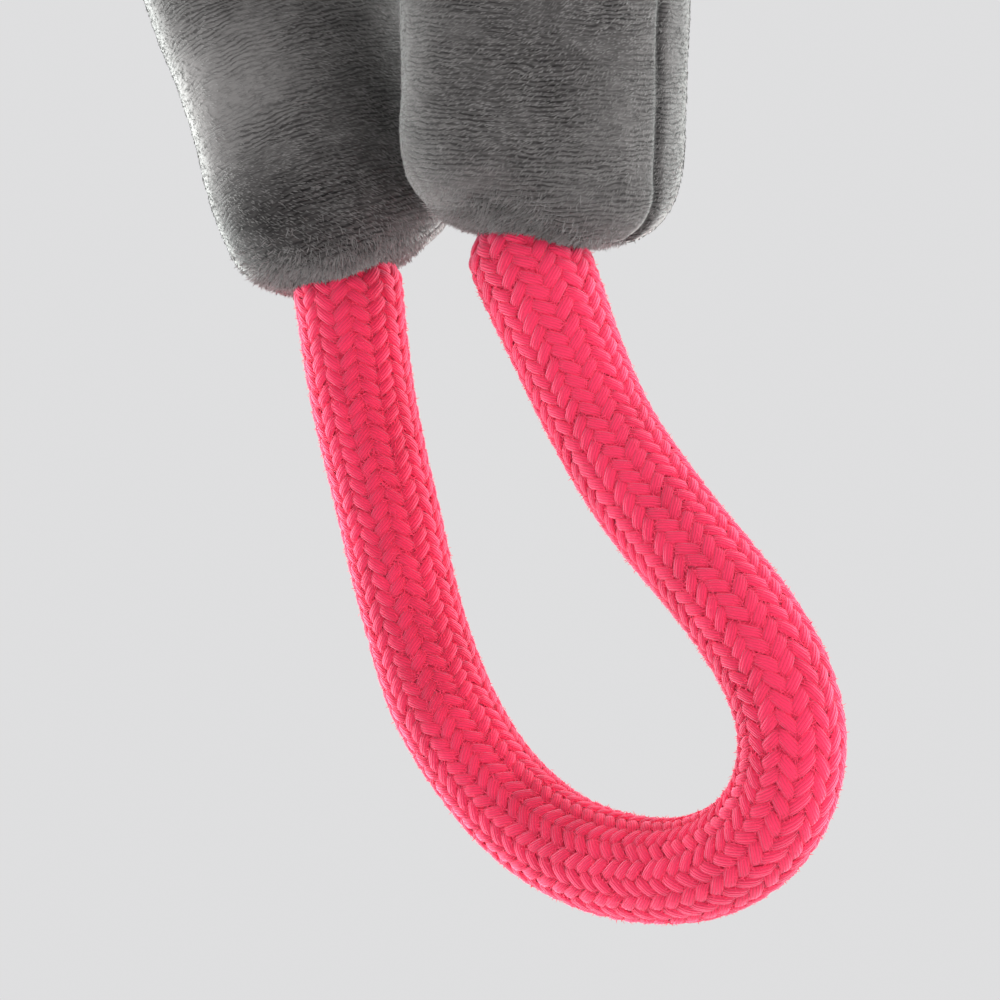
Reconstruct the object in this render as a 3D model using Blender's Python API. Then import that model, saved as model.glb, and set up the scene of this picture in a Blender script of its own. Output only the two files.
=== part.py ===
"""Plush dog tug toy: a stuffed puppy hanging from its crown, whose feet hold the ends of a braided rope loop.

Metres, +Z up. The origin is the crown of the head, the puppy faces -Y, and its own left side is +X.
"""
import math

import bmesh
import bpy
from mathutils import Matrix, Vector

# Cloth and clearances
COVER = 0.003
SEAT_GAP = 0.0003
JOINT_GAP = 0.0008
OVERRUN = 0.006

# Head and neck
HEAD_WIDTH = 0.126
HEAD_DEPTH = 0.108
HEAD_HEIGHT = 0.100
NECK_RADIUS = 0.030
NECK_SINK = 0.013
NECK_OPENING_RADIUS = 0.014

# Muzzle, nose and eyes
MUZZLE_WIDTH = 0.062
MUZZLE_DEPTH = 0.056
MUZZLE_HEIGHT = 0.043
MUZZLE_DROP = 0.063
NOSE_WIDTH = 0.021
NOSE_HEIGHT = 0.013
NOSE_RISE = 0.009
EYE_DIAMETER = 0.013
EYE_SPACING = 0.048
EYE_DROP = 0.040
STITCH_PAD = 0.0024

# Ears
EAR_LENGTH = 0.072
EAR_WIDTH = 0.050
EAR_PILE = 0.0036
EAR_LINING = 0.0022
EAR_DROP = 0.022
EAR_SUNK = 0.0005
EAR_TURN = math.radians(26)
EAR_FLARE = math.radians(7)

# Torso
TORSO_LENGTH = 0.145
TORSO_WIDTH = 0.132
TORSO_DEPTH = 0.084

# Arms
SHOULDER_DROP = 0.046
SHOULDER_STANDOUT = 0.0035
SHOULDER_RADIUS = 0.0180
ARM_LENGTH = 0.088
ARM_SPLAY = math.radians(30)
PAW_WIDTH = 0.042
PAW_DEPTH = 0.048
PAW_SIDE_CORNER = 0.012
PAW_FRONT_CORNER = 0.018
PAW_DOME = 0.0014

# Legs
HIP_BELOW_SEAT = 0.008
HIP_RADIUS = 0.027
LEG_LENGTH = 0.102
LEG_LEAN = math.radians(12.5)
LEG_SETBACK = 0.005
FOOT_SPACING = 0.0415
FOOT_WIDTH = 0.046
FOOT_DEPTH = 0.058
FOOT_SIDE_CORNER = 0.011
FOOT_FRONT_CORNER = 0.020
FOOT_DOME = 0.0014

# Rope
ROPE_DIAMETER = 0.020
ROPE_EXIT_X = 0.0210
ROPE_EXIT_BELOW_FOOT = 0.0020
ROPE_TAIL = 0.030
KNOT_RADIUS = 0.0145
ROPE_HOLE_CLEARANCE = 0.0025
STITCHING_WIDTH = 0.0010
STITCHING_HEIGHT = 0.0022
STITCHING_RISE = 0.0038

# Tail and label
TAIL_RADIUS = 0.010
TAIL_TIP_RADIUS = 0.0075
TAIL_LENGTH = 0.040
TAIL_RISE = 0.030
TAIL_DROOP = math.radians(62)
LABEL_WIDTH = 0.013
LABEL_LENGTH = 0.016
LABEL_THICKNESS = 0.0010

# Squeaker
SQUEAKER_RADIUS = 0.016
SQUEAKER_HOUSING_HEIGHT = 0.006
SQUEAKER_BELLOWS_HEIGHT = 0.022
SQUEAKER_CAP_HEIGHT = 0.003
SQUEAKER_WALL = 0.0012
SQUEAKER_DROP = 0.070
SQUEAKER_FOLD = 0.0022
REED_RADIUS = 0.005
REED_BORE_RADIUS = 0.0016
SOUND_CHANNEL_RADIUS = 0.006

# Outlines from top to bottom, as shares of the drop, the half width and the half depth
HEAD_SHARES = [(0, 0, 0), (0.02, 0.28, 0.28), (0.08, 0.55, 0.55), (0.18, 0.78, 0.79),
               (0.32, 0.93, 0.94), (0.48, 0.99, 1.0), (0.63, 1.0, 0.98), (0.77, 0.93, 0.90),
               (0.89, 0.75, 0.72), (0.965, 0.48, 0.46), (0.992, 0.25, 0.24), (1, 0, 0)]
TORSO_SHARES = [(0.225, 0.58, 0.78), (0.275, 0.71, 0.87), (0.355, 0.81, 0.93), (0.48, 0.88, 0.97),
                (0.63, 0.95, 1.0), (0.75, 0.99, 1.0), (0.835, 1.0, 0.97), (0.905, 0.92, 0.89),
                (0.955, 0.74, 0.72), (0.983, 0.50, 0.49), (0.996, 0.26, 0.25), (1, 0, 0)]
EAR_SHARES = [(0, 0, 0), (0.03, 0.36, 0.75), (0.12, 0.60, 1.0), (0.34, 0.84, 1.0), (0.60, 1.0, 0.95),
              (0.80, 0.88, 0.85), (0.93, 0.58, 0.65), (0.985, 0.28, 0.35), (1, 0, 0)]
LEG_BARREL_SHARES = [(0.22, 0.34), (0.45, 0.70), (0.64, 1)]
ARM_BARREL_SHARES = [(0.24, -0.25), (0.46, 0.35), (0.64, 1)]
TAIL_PROUD_SHARE = 0.82
LINED_EAR_SHARE = 0.86
CORE_POLE_SHARE = 0.4

# The rope's free route in the X-Z plane through both exits, right foot to left foot
ROPE_ROUTE = [(-0.0210, -0.3416), (-0.0215, -0.3520), (-0.0216, -0.3630), (-0.0208, -0.3740),
              (-0.0197, -0.3854), (-0.0188, -0.3960), (-0.0172, -0.4080), (-0.0144, -0.4195),
              (-0.0094, -0.4300), (-0.0026, -0.4392), (0.0060, -0.4466), (0.0162, -0.4516),
              (0.0274, -0.4542), (0.0386, -0.4542), (0.0494, -0.4506), (0.0575, -0.4432),
              (0.0614, -0.4335), (0.0606, -0.4235), (0.0562, -0.4135), (0.0502, -0.4044),
              (0.0440, -0.3960), (0.0384, -0.3876), (0.0336, -0.3790), (0.0298, -0.3700),
              (0.0268, -0.3610), (0.0240, -0.3515), (0.0210, -0.3416)]

SIDES = {"left": 1, "right": -1}
ROUND_SIDES = 20
CORE_SIDES = 16
SMALL_SIDES = 12
ROUTE_STEPS = 2
SMOOTH_ANGLE = math.radians(50)
HALF_TURN = math.pi
DOWN = Vector((0, 0, -1))

# Places worked out from the sizes
ACROSS = Vector((1, 0, 0))
THROUGH = Vector((0, 1, 0))
TORSO_TOP = -(HEAD_HEIGHT - NECK_SINK)
NECK_PIVOT = Vector((0, 0, TORSO_TOP - NECK_RADIUS))
HIP_Z = TORSO_TOP - TORSO_LENGTH - HIP_BELOW_SEAT
SHOULDER_Z = TORSO_TOP - SHOULDER_DROP
TAIL_Z = TORSO_TOP - TORSO_LENGTH + TAIL_RISE


def clear_scene():
    for old in list(bpy.data.objects):
        bpy.data.objects.remove(old)


def material(name, colour, roughness, metallic=0.0):
    made = bpy.data.materials.new(name)
    made.use_nodes = True
    shader = made.node_tree.nodes["Principled BSDF"]
    shader.inputs["Base Color"].default_value = (*colour, 1)
    shader.inputs["Roughness"].default_value = roughness
    shader.inputs["Metallic"].default_value = metallic
    return made


def new_object(name, bm, finish=None):
    """Puts a bmesh in the scene as one smooth object."""
    bmesh.ops.recalc_face_normals(bm, faces=bm.faces)
    mesh = bpy.data.meshes.new(name)
    bm.to_mesh(mesh)
    bm.free()
    mesh.shade_smooth()
    mesh.set_sharp_from_angle(angle=SMOOTH_ANGLE)
    made = bpy.data.objects.new(name, mesh)
    bpy.context.collection.objects.link(made)
    if finish:
        mesh.materials.append(finish)
    else:
        made.hide_render = True
        made.display_type = "WIRE"
    return made


def cut(target, *cutters):
    for cutter in cutters:
        boolean = target.modifiers.new(cutter.name, "BOOLEAN")
        boolean.operation = "DIFFERENCE"
        boolean.solver = "EXACT"
        boolean.object = cutter


def joint_axis(name, place):
    """An empty that stands on a joint's axis, for the pieces that turn or slide there."""
    empty = bpy.data.objects.new(name, None)
    empty.location = place
    bpy.context.collection.objects.link(empty)
    return empty


def hang_on(axis, *pieces):
    for piece in pieces:
        piece.data.transform(Matrix.Translation(-axis.location))
        piece.parent = axis


def stuffed_form(name, rows, sides=ROUND_SIDES, finish=None):
    """A closed soft form. Each row is an oval: its centre and its two half axes. The end rows are poles."""
    bm = bmesh.new()
    steps = len(rows) - 1
    bmesh.ops.create_uvsphere(bm, u_segments=sides, v_segments=steps, radius=1)
    for vertex in bm.verts:
        polar = math.acos(max(-1, min(1, vertex.co.z)))
        centre, across, through = rows[round(polar / HALF_TURN * steps)]
        way = Vector((vertex.co.x, vertex.co.y)).normalized()
        vertex.co = centre + across * way.x + through * way.y
    bmesh.ops.triangulate(bm, faces=bm.faces, quad_method="FIXED")
    return new_object(name, bm, finish)


def ellipsoid(name, centre, half, sides=ROUND_SIDES, finish=None, turn=None):
    bm = bmesh.new()
    bmesh.ops.create_uvsphere(bm, u_segments=sides, v_segments=sides // 2, radius=1)
    place = Matrix.Translation(centre) @ (turn or Matrix()) @ Matrix.Diagonal((*half, 1))
    bmesh.ops.transform(bm, matrix=place, verts=bm.verts)
    return new_object(name, bm, finish)


def ball(name, centre, radius, sides=ROUND_SIDES, finish=None):
    return ellipsoid(name, centre, (radius, radius, radius), sides, finish)


def rod(name, start, end, radius, sides=ROUND_SIDES, finish=None):
    bm = bmesh.new()
    way = end - start
    bmesh.ops.create_cone(bm, cap_ends=True, segments=sides, radius1=radius, radius2=radius, depth=way.length)
    place = Matrix.Translation((start + end) / 2) @ way.to_track_quat("Z", "Y").to_matrix().to_4x4()
    bmesh.ops.transform(bm, matrix=place, verts=bm.verts)
    return new_object(name, bm, finish)


def share_rows(shares, top, way, length, across, through, inset=0.0):
    """Rows from a table of shares, drawn in by an inset for the form that fits inside the cover."""
    rows = []
    reach = length - 2 * inset
    for drop, wide, deep in shares:
        half_wide = max(across.length * wide - inset, across.length * wide * CORE_POLE_SHARE)
        half_deep = max(through.length * deep - inset, through.length * deep * CORE_POLE_SHARE)
        centre = top + way * (inset + reach * drop)
        rows.append((centre, across.normalized() * half_wide, through.normalized() * half_deep))
    return rows


def head_rows(inset=0.0):
    return share_rows(HEAD_SHARES, Vector(), DOWN, HEAD_HEIGHT, ACROSS * (HEAD_WIDTH / 2),
                      THROUGH * (HEAD_DEPTH / 2), inset)


def torso_rows(inset=0.0):
    """The round neck first, then the shoulders, belly and seat."""
    radius = NECK_RADIUS - inset
    rows = []
    for angle in (0, 18, 36, 54, 70):
        turn = math.radians(angle)
        centre = NECK_PIVOT - DOWN * (radius * math.cos(turn))
        rows.append((centre, ACROSS * (radius * math.sin(turn)), THROUGH * (radius * math.sin(turn))))
    below = share_rows(TORSO_SHARES, Vector((0, 0, TORSO_TOP)), DOWN, TORSO_LENGTH,
                       ACROSS * (TORSO_WIDTH / 2), THROUGH * (TORSO_DEPTH / 2))
    for centre, across, through in below[:-1]:
        lift = inset * (centre.z - NECK_PIVOT.z) / (TORSO_LENGTH - NECK_RADIUS)
        wide = max(across.length - inset, across.length * CORE_POLE_SHARE)
        deep = max(through.length - inset, through.length * CORE_POLE_SHARE)
        rows.append((centre - Vector((0, 0, lift)), ACROSS * wide, THROUGH * deep))
    rows.append((below[-1][0] - DOWN * inset, Vector(), Vector()))
    return rows


def hip_centre(side):
    return Vector((side * (FOOT_SPACING / 2 + LEG_LENGTH * math.sin(LEG_LEAN)), LEG_SETBACK, HIP_Z))


def leg_way(side):
    return Vector((-side * math.sin(LEG_LEAN), 0, -math.cos(LEG_LEAN)))


def rounded_half(half, corner, from_end):
    """Half width of a form whose end has a round corner, at a distance from that end."""
    depth = corner - min(from_end, corner)
    return half - corner + math.sqrt(max(corner * corner - depth * depth, 0))


def limb_rows(root, way, across, root_radius, end_size, corners, length, dome, barrel, inset):
    """A round root, a barrel that changes to the end's size, and a boxy end with round corners."""
    root_radius -= inset
    end_wide, end_deep = (full / 2 - inset for full in end_size)
    side_corner, front_corner = (corner - inset for corner in corners)
    end = length - inset
    rows = []
    for angle in (0, 20, 40, 62, 90):
        turn = math.radians(angle)
        girth = root_radius * math.sin(turn)
        rows.append((root - way * (root_radius * math.cos(turn)), across * girth, THROUGH * girth))
    for share, blend in barrel:
        wide = root_radius + (end_wide - root_radius) * blend
        deep = root_radius + (end_deep - root_radius) * blend
        rows.append((root + way * (length * share), across * wide, THROUGH * deep))
    for share in (1, 0.55, 0.25, 0.07):
        from_end = front_corner * share
        wide = rounded_half(end_wide, side_corner, from_end)
        deep = rounded_half(end_deep, front_corner, from_end)
        rows.append((root + way * (end - from_end), across * wide, THROUGH * deep))
    rows.append((root + way * (end + dome), Vector(), Vector()))
    return rows


def leg_rows(side, inset=0.0):
    across = Vector((math.cos(LEG_LEAN), 0, -side * math.sin(LEG_LEAN)))
    return limb_rows(hip_centre(side), leg_way(side), across, HIP_RADIUS, (FOOT_WIDTH, FOOT_DEPTH),
                     (FOOT_SIDE_CORNER, FOOT_FRONT_CORNER), LEG_LENGTH, FOOT_DOME, LEG_BARREL_SHARES, inset)


def shoulder_centre(side):
    return Vector((side * (TORSO_WIDTH / 2 + SHOULDER_STANDOUT), 0, SHOULDER_Z))


def arm_rows(side, inset=0.0):
    way = Vector((side * math.sin(ARM_SPLAY), 0, -math.cos(ARM_SPLAY)))
    across = Vector((math.cos(ARM_SPLAY), 0, side * math.sin(ARM_SPLAY)))
    return limb_rows(shoulder_centre(side), way, across, SHOULDER_RADIUS, (PAW_WIDTH, PAW_DEPTH),
                     (PAW_SIDE_CORNER, PAW_FRONT_CORNER), ARM_LENGTH, PAW_DOME, ARM_BARREL_SHARES, inset)


def rope_exit(side):
    foot_end = hip_centre(side) + leg_way(side) * LEG_LENGTH
    return Vector((side * ROPE_EXIT_X, 0, foot_end.z - ROPE_EXIT_BELOW_FOOT))


def make_head(pile, lining, filling, thread, axes):
    """Head and muzzle covers with their filling, stitched features and two hanging ears."""
    cavity = stuffed_form("head_cavity_guide", head_rows(COVER), CORE_SIDES)
    neck = ball("neck_hollow_guide", NECK_PIVOT, NECK_RADIUS + JOINT_GAP)
    cover = stuffed_form("head_cover", head_rows(), finish=pile)
    cut(cover, cavity, neck)
    core = stuffed_form("head_stuffing", head_rows(COVER + SEAT_GAP), CORE_SIDES, filling)
    cut(core, neck)

    skull = stuffed_form("head_seat_guide", head_rows(-SEAT_GAP))
    muzzle_centre = Vector((0, -HEAD_DEPTH / 2, -MUZZLE_DROP))
    muzzle_half = Vector((MUZZLE_WIDTH, MUZZLE_DEPTH, MUZZLE_HEIGHT)) / 2
    muzzle = ellipsoid("muzzle_cover", muzzle_centre, muzzle_half, finish=pile)
    wall = Vector((COVER, COVER, COVER))
    gap = Vector((SEAT_GAP, SEAT_GAP, SEAT_GAP))
    cut(muzzle, ellipsoid("muzzle_cavity_guide", muzzle_centre, muzzle_half - wall, CORE_SIDES), skull)
    cut(ellipsoid("muzzle_stuffing", muzzle_centre, muzzle_half - wall - gap, CORE_SIDES, filling), skull)

    snout = ellipsoid("muzzle_seat_guide", muzzle_centre, muzzle_half + gap)
    nose_tilt = math.asin(NOSE_RISE / muzzle_half.z)
    nose_place = muzzle_centre + Vector((0, -muzzle_half.y * math.cos(nose_tilt), NOSE_RISE))
    nose_half = (NOSE_WIDTH / 2, STITCH_PAD, NOSE_HEIGHT / 2)
    nose = ellipsoid("nose", nose_place, nose_half, SMALL_SIDES, thread, Matrix.Rotation(nose_tilt, 4, "X"))
    cut(nose, snout)

    for label, side in SIDES.items():
        face_turn = math.asin(EYE_SPACING / HEAD_WIDTH)
        place = Vector((side * EYE_SPACING / 2, -HEAD_DEPTH / 2 * math.cos(face_turn), -EYE_DROP))
        half = (EYE_DIAMETER / 2, STITCH_PAD, EYE_DIAMETER / 2)
        turn = Matrix.Rotation(side * face_turn, 4, "Z")
        eye = ellipsoid(f"{label}_eye", place, half, SMALL_SIDES, thread, turn)
        cut(eye, skull)
        make_ear(label, side, pile, lining, axes)


def head_reach(drop, side):
    """Where an ear lies on the head's side at a drop below the crown, and no further in below its widest."""
    wide = deep = 0
    for (high, start_wide, start_deep), (low, end_wide, end_deep) in zip(HEAD_SHARES, HEAD_SHARES[1:]):
        share = (min(max(drop / HEAD_HEIGHT, high), low) - high) / (low - high)
        wide = max(wide, start_wide + (end_wide - start_wide) * share)
        deep = max(deep, start_deep + (end_deep - start_deep) * share)
        if drop <= low * HEAD_HEIGHT:
            break
    across = side * wide * HEAD_WIDTH / 2 * math.cos(EAR_TURN)
    return Vector((across, -deep * HEAD_DEPTH / 2 * math.sin(EAR_TURN), -drop))


def ear_facing(side):
    """The way an ear's flat side faces: square to the head where the ear hangs."""
    facing = Vector((side * math.cos(EAR_TURN) / HEAD_WIDTH, -math.sin(EAR_TURN) / HEAD_DEPTH, 0))
    return facing.normalized()


def ear_rows(side, standoff, thickness, width):
    """A leaf-shaped panel that hangs down the head's side, a standoff from its round outline, and flares."""
    facing = ear_facing(side)
    rows = []
    for down, wide, thick in EAR_SHARES:
        hanging = EAR_LENGTH * down
        out = standoff + thickness / 2 + hanging * math.tan(EAR_FLARE)
        centre = head_reach(EAR_DROP + hanging, side) + facing * out
        rows.append((centre, facing * (thickness / 2 * thick), facing.cross(DOWN) * (width / 2 * wide)))
    return rows


def make_ear(label, side, pile, lining, axes):
    """A smaller lining panel against the head under a pile outer panel, sewn on along their top edge."""
    inner_rows = ear_rows(side, -EAR_SUNK, EAR_LINING, EAR_WIDTH * LINED_EAR_SHARE)
    inner = stuffed_form(f"{label}_ear_lining", inner_rows, SMALL_SIDES, lining)
    outer_standoff = EAR_LINING + SEAT_GAP - EAR_SUNK
    outer_rows = ear_rows(side, outer_standoff, EAR_PILE, EAR_WIDTH)
    outer = stuffed_form(f"{label}_ear_outer", outer_rows, SMALL_SIDES, pile)
    axis = joint_axis(f"{label}_ear_axis", head_reach(EAR_DROP, side) + ear_facing(side) * outer_standoff)
    hang_on(axis, outer, inner)
    axes[f"{label}_ear"] = axis


def make_torso(pile, filling, axes):
    """The torso cover, sewn round the neck, hips, shoulders and tail, over one filling."""
    cavity = stuffed_form("torso_cavity_guide", torso_rows(COVER), CORE_SIDES)
    cover = stuffed_form("torso_cover", torso_rows(), finish=pile)
    core = stuffed_form("torso_stuffing", torso_rows(COVER + SEAT_GAP), CORE_SIDES, filling)
    cut(cover, cavity)
    above_neck = Vector((0, 0, TORSO_TOP + OVERRUN))
    neck_opening = rod("neck_opening_guide", NECK_PIVOT, above_neck, NECK_OPENING_RADIUS)
    cut(cover, neck_opening)
    for label, side in SIDES.items():
        hip = ball(f"{label}_hip_hollow_guide", hip_centre(side), HIP_RADIUS + JOINT_GAP)
        shoulder_hollow_radius = SHOULDER_RADIUS + JOINT_GAP
        shoulder = ball(f"{label}_shoulder_hollow_guide", shoulder_centre(side), shoulder_hollow_radius)
        cut(cover, hip, shoulder)
        cut(core, hip, shoulder)
    root = tail_root()
    tail_hollow = ball("tail_hollow_guide", root, TAIL_RADIUS + JOINT_GAP, SMALL_SIDES)
    cut(cover, tail_hollow)
    cut(core, tail_hollow)
    axis = joint_axis("neck_axis", NECK_PIVOT)
    hang_on(axis, cover, core)
    axes["neck"] = axis
    return core


def make_squeaker(torso_stuffing, plastic, axes):
    """A bellows squeaker in the middle of the filling: housing, reed plug, folded bellows and end cap."""
    base = Vector((0, 0, TORSO_TOP - SQUEAKER_DROP - SQUEAKER_BELLOWS_HEIGHT))
    sole = base + DOWN * SQUEAKER_HOUSING_HEIGHT
    bellows_top = base - DOWN * SQUEAKER_BELLOWS_HEIGHT
    cap_top = bellows_top - DOWN * SQUEAKER_CAP_HEIGHT
    room_radius = SQUEAKER_RADIUS + SEAT_GAP
    room = rod("squeaker_room_guide", sole + DOWN * SEAT_GAP, cap_top - DOWN * SEAT_GAP, room_radius)
    outside = sole + DOWN * TORSO_LENGTH
    channel = rod("sound_channel_guide", sole, outside, SOUND_CHANNEL_RADIUS, SMALL_SIDES)
    cut(torso_stuffing, room, channel)

    face = base + DOWN * SEAT_GAP
    under = sole + DOWN * OVERRUN
    over = base - DOWN * OVERRUN
    housing = rod("squeaker_housing", sole, face, SQUEAKER_RADIUS, finish=plastic)
    cut(housing, rod("reed_hole_guide", under, over, REED_RADIUS + SEAT_GAP, SMALL_SIDES))
    reed = rod("squeaker_reed", sole + DOWN * SEAT_GAP, face, REED_RADIUS, SMALL_SIDES, plastic)
    cut(reed, rod("reed_bore_guide", under, over, REED_BORE_RADIUS, SMALL_SIDES))

    bellows = make_bellows(base, bellows_top, plastic)
    cap_seat = bellows_top - DOWN * SEAT_GAP
    cap = rod("squeaker_cap", cap_seat, cap_top, SQUEAKER_RADIUS - SQUEAKER_FOLD, finish=plastic)
    hang_on(axes["neck"], housing, reed, bellows)
    axis = joint_axis("squeaker_axis", bellows_top)
    hang_on(axis, cap)


def make_bellows(base, top, plastic):
    """A tube with two outward folds, open at both ends."""
    bm = bmesh.new()
    outer = SQUEAKER_RADIUS
    waist = SQUEAKER_RADIUS - SQUEAKER_FOLD
    height = top.z - base.z
    outside = [(waist, 0), (outer, height / 4), (waist, height / 2), (outer, height * 3 / 4), (waist, height)]
    inside = [(radius - SQUEAKER_WALL, along) for radius, along in reversed(outside)]
    corners = [bm.verts.new((radius, 0, base.z + along)) for radius, along in outside + inside]
    profile = [bm.edges.new(pair) for pair in zip(corners, corners[1:] + corners[:1])]
    bmesh.ops.spin(bm, geom=corners + profile, cent=(0, 0, 0), axis=(0, 0, 1), angle=2 * math.pi,
                   steps=ROUND_SIDES, use_merge=True)
    return new_object("squeaker_bellows", bm, plastic)


def make_arms(pile, filling, axes):
    for label, side in SIDES.items():
        cover = stuffed_form(f"{label}_arm_cover", arm_rows(side), CORE_SIDES, pile)
        cavity = stuffed_form(f"{label}_arm_cavity_guide", arm_rows(side, COVER), SMALL_SIDES)
        core = stuffed_form(f"{label}_arm_stuffing", arm_rows(side, COVER + SEAT_GAP), SMALL_SIDES, filling)
        shoulder = shoulder_centre(side)
        inside = shoulder - ACROSS * (side * SHOULDER_RADIUS * 2)
        opening = rod(f"{label}_arm_opening_guide", shoulder, inside, SHOULDER_RADIUS / 2, SMALL_SIDES)
        cut(cover, cavity, opening)
        axis = joint_axis(f"{label}_shoulder_axis", shoulder)
        hang_on(axis, cover, core)
        axes[f"{label}_shoulder"] = axis


def make_legs(pile, filling, thread, cotton, axes):
    """Each leg's cover, its filling, and the rope's tail and knot that are stitched in at the sole."""
    for label, side in SIDES.items():
        hip = hip_centre(side)
        way = leg_way(side)
        leaving = rope_exit(side)
        rope_radius = ROPE_DIAMETER / 2
        hole_radius = rope_radius + ROPE_HOLE_CLEARANCE

        cover = stuffed_form(f"{label}_leg_cover", leg_rows(side), finish=pile)
        cavity = stuffed_form(f"{label}_leg_cavity_guide", leg_rows(side, COVER), CORE_SIDES)
        tail_start = leaving - way * (rope_radius + SEAT_GAP)
        sole_hole = rod(f"{label}_sole_hole_guide", leaving + way * OVERRUN, tail_start, hole_radius)
        above_hip = hip - way * (HIP_RADIUS + OVERRUN)
        hip_opening = rod(f"{label}_hip_opening_guide", hip, above_hip, HIP_RADIUS / 2)
        cut(cover, cavity, sole_hole, hip_opening)

        core = stuffed_form(f"{label}_leg_stuffing", leg_rows(side, COVER + SEAT_GAP), CORE_SIDES, filling)
        tail_end = tail_start - way * ROPE_TAIL
        knot_centre = tail_end - way * (KNOT_RADIUS / 2)
        bore_radius = rope_radius + SEAT_GAP
        bore = rod(f"{label}_tail_bore_guide", tail_start + way * OVERRUN, tail_end, bore_radius)
        knot_room = ball(f"{label}_knot_room_guide", knot_centre, KNOT_RADIUS + SEAT_GAP, CORE_SIDES)
        cut(core, sole_hole, bore, knot_room)

        tail = rod(f"{label}_rope_tail", tail_start, knot_centre, rope_radius, CORE_SIDES, cotton)
        knot = ball(f"{label}_rope_knot", knot_centre, KNOT_RADIUS, CORE_SIDES, cotton)
        hole_end = knot_centre - way * SEAT_GAP
        cut(knot, rod(f"{label}_knot_hole_guide", tail_start, hole_end, bore_radius, CORE_SIDES))

        ring_centre = leaving - way * STITCHING_RISE
        half_ring = way * (STITCHING_HEIGHT / 2)
        ring_radius = hole_radius - SEAT_GAP
        stitching = rod(f"{label}_sole_stitching", ring_centre + half_ring, ring_centre - half_ring,
                        ring_radius, finish=thread)
        bore_start = ring_centre + half_ring * 2
        bore_end = ring_centre - half_ring * 2
        inner_radius = ring_radius - STITCHING_WIDTH
        cut(stitching, rod(f"{label}_stitching_bore_guide", bore_start, bore_end, inner_radius))

        axis = joint_axis(f"{label}_hip_axis", hip)
        hang_on(axis, cover, core, tail, knot, stitching)
        axes[f"{label}_hip"] = axis


def tail_root():
    drop = (TORSO_TOP - TAIL_Z) / TORSO_LENGTH
    lower = next(n for n, row in enumerate(TORSO_SHARES) if row[0] >= drop)
    deep = TORSO_SHARES[lower][2] * TORSO_DEPTH / 2
    return Vector((0, deep + TAIL_RADIUS * TAIL_PROUD_SHARE, TAIL_Z))


def make_tail(pile, axes):
    """A short stuffed tail that droops behind the seat."""
    root = tail_root()
    way = Vector((0, math.sin(TAIL_DROOP), -math.cos(TAIL_DROOP)))
    through = Vector((0, math.cos(TAIL_DROOP), math.sin(TAIL_DROOP)))
    girths = []
    for angle in (0, 30, 60, 90):
        turn = math.radians(angle)
        girths.append((-TAIL_RADIUS * math.cos(turn), TAIL_RADIUS * math.sin(turn)))
    for angle in (90, 120, 150, 180):
        turn = math.radians(angle)
        girths.append((TAIL_LENGTH - TAIL_TIP_RADIUS * math.cos(turn), TAIL_TIP_RADIUS * math.sin(turn)))
    rows = [(root + way * along, ACROSS * girth, through * girth) for along, girth in girths]
    tail = stuffed_form("tail", rows, SMALL_SIDES, pile)
    axis = joint_axis("tail_axis", root)
    hang_on(axis, tail)
    axes["tail"] = axis


def make_label(satin, axes):
    """A blank label sewn into the seat's seam, hanging between the legs."""
    seat = TORSO_TOP - TORSO_LENGTH
    centre = Vector((0, 0, seat - SEAT_GAP - LABEL_LENGTH / 2))
    bm = bmesh.new()
    bmesh.ops.create_cube(bm, size=1)
    size = Matrix.Diagonal((LABEL_WIDTH, LABEL_THICKNESS, LABEL_LENGTH, 1))
    bmesh.ops.transform(bm, matrix=Matrix.Translation(centre) @ size, verts=bm.verts)
    label = new_object("care_label", bm, satin)
    hang_on(axes["neck"], label)


def smooth_route(points):
    """A smooth curve through the route's own points."""
    ends = [points[0] * 2 - points[1]] + points + [points[-1] * 2 - points[-2]]
    route = []
    for before, start, end, after in zip(ends, ends[1:], ends[2:], ends[3:]):
        for step in range(ROUTE_STEPS):
            t = step / ROUTE_STEPS
            route.append((start * 2 + (end - before) * t + (before * 2 - start * 5 + end * 4 - after) * t ** 2
                          + (start * 3 - before - end * 3 + after) * t ** 3) / 2)
    route.append(points[-1])
    return route


def make_rope(cotton):
    """The free loop, an even tube whose two ends are rounded to turn in the soles."""
    radius = ROPE_DIAMETER / 2
    route = smooth_route([Vector((x, 0, z)) for x, z in ROPE_ROUTE])
    start_way = (route[0] - route[1]).normalized()
    end_way = (route[-1] - route[-2]).normalized()
    domed = [(math.sin(turn), math.cos(turn)) for turn in map(math.radians, (84, 66, 44, 22))]
    stations = [(route[0] + start_way * (radius * along), girth) for along, girth in domed]
    stations += [(point, 1.0) for point in route]
    stations += [(route[-1] + end_way * (radius * along), girth) for along, girth in reversed(domed)]
    curve = bpy.data.curves.new("rope_loop", "CURVE")
    curve.dimensions = "3D"
    curve.bevel_depth = radius
    curve.bevel_resolution = 3
    curve.use_fill_caps = True
    curve.materials.append(cotton)
    spline = curve.splines.new("POLY")
    spline.points.add(len(stations) - 1)
    spline.use_smooth = True
    middle = (rope_exit(1) + rope_exit(-1)) / 2
    for point, (place, girth) in zip(spline.points, stations):
        point.co = (*(place - middle), 1)
        point.radius = girth
    rope = bpy.data.objects.new("rope_loop", curve)
    bpy.context.collection.objects.link(rope)
    rope.parent = joint_axis("rope_swing_axis", middle)


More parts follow.
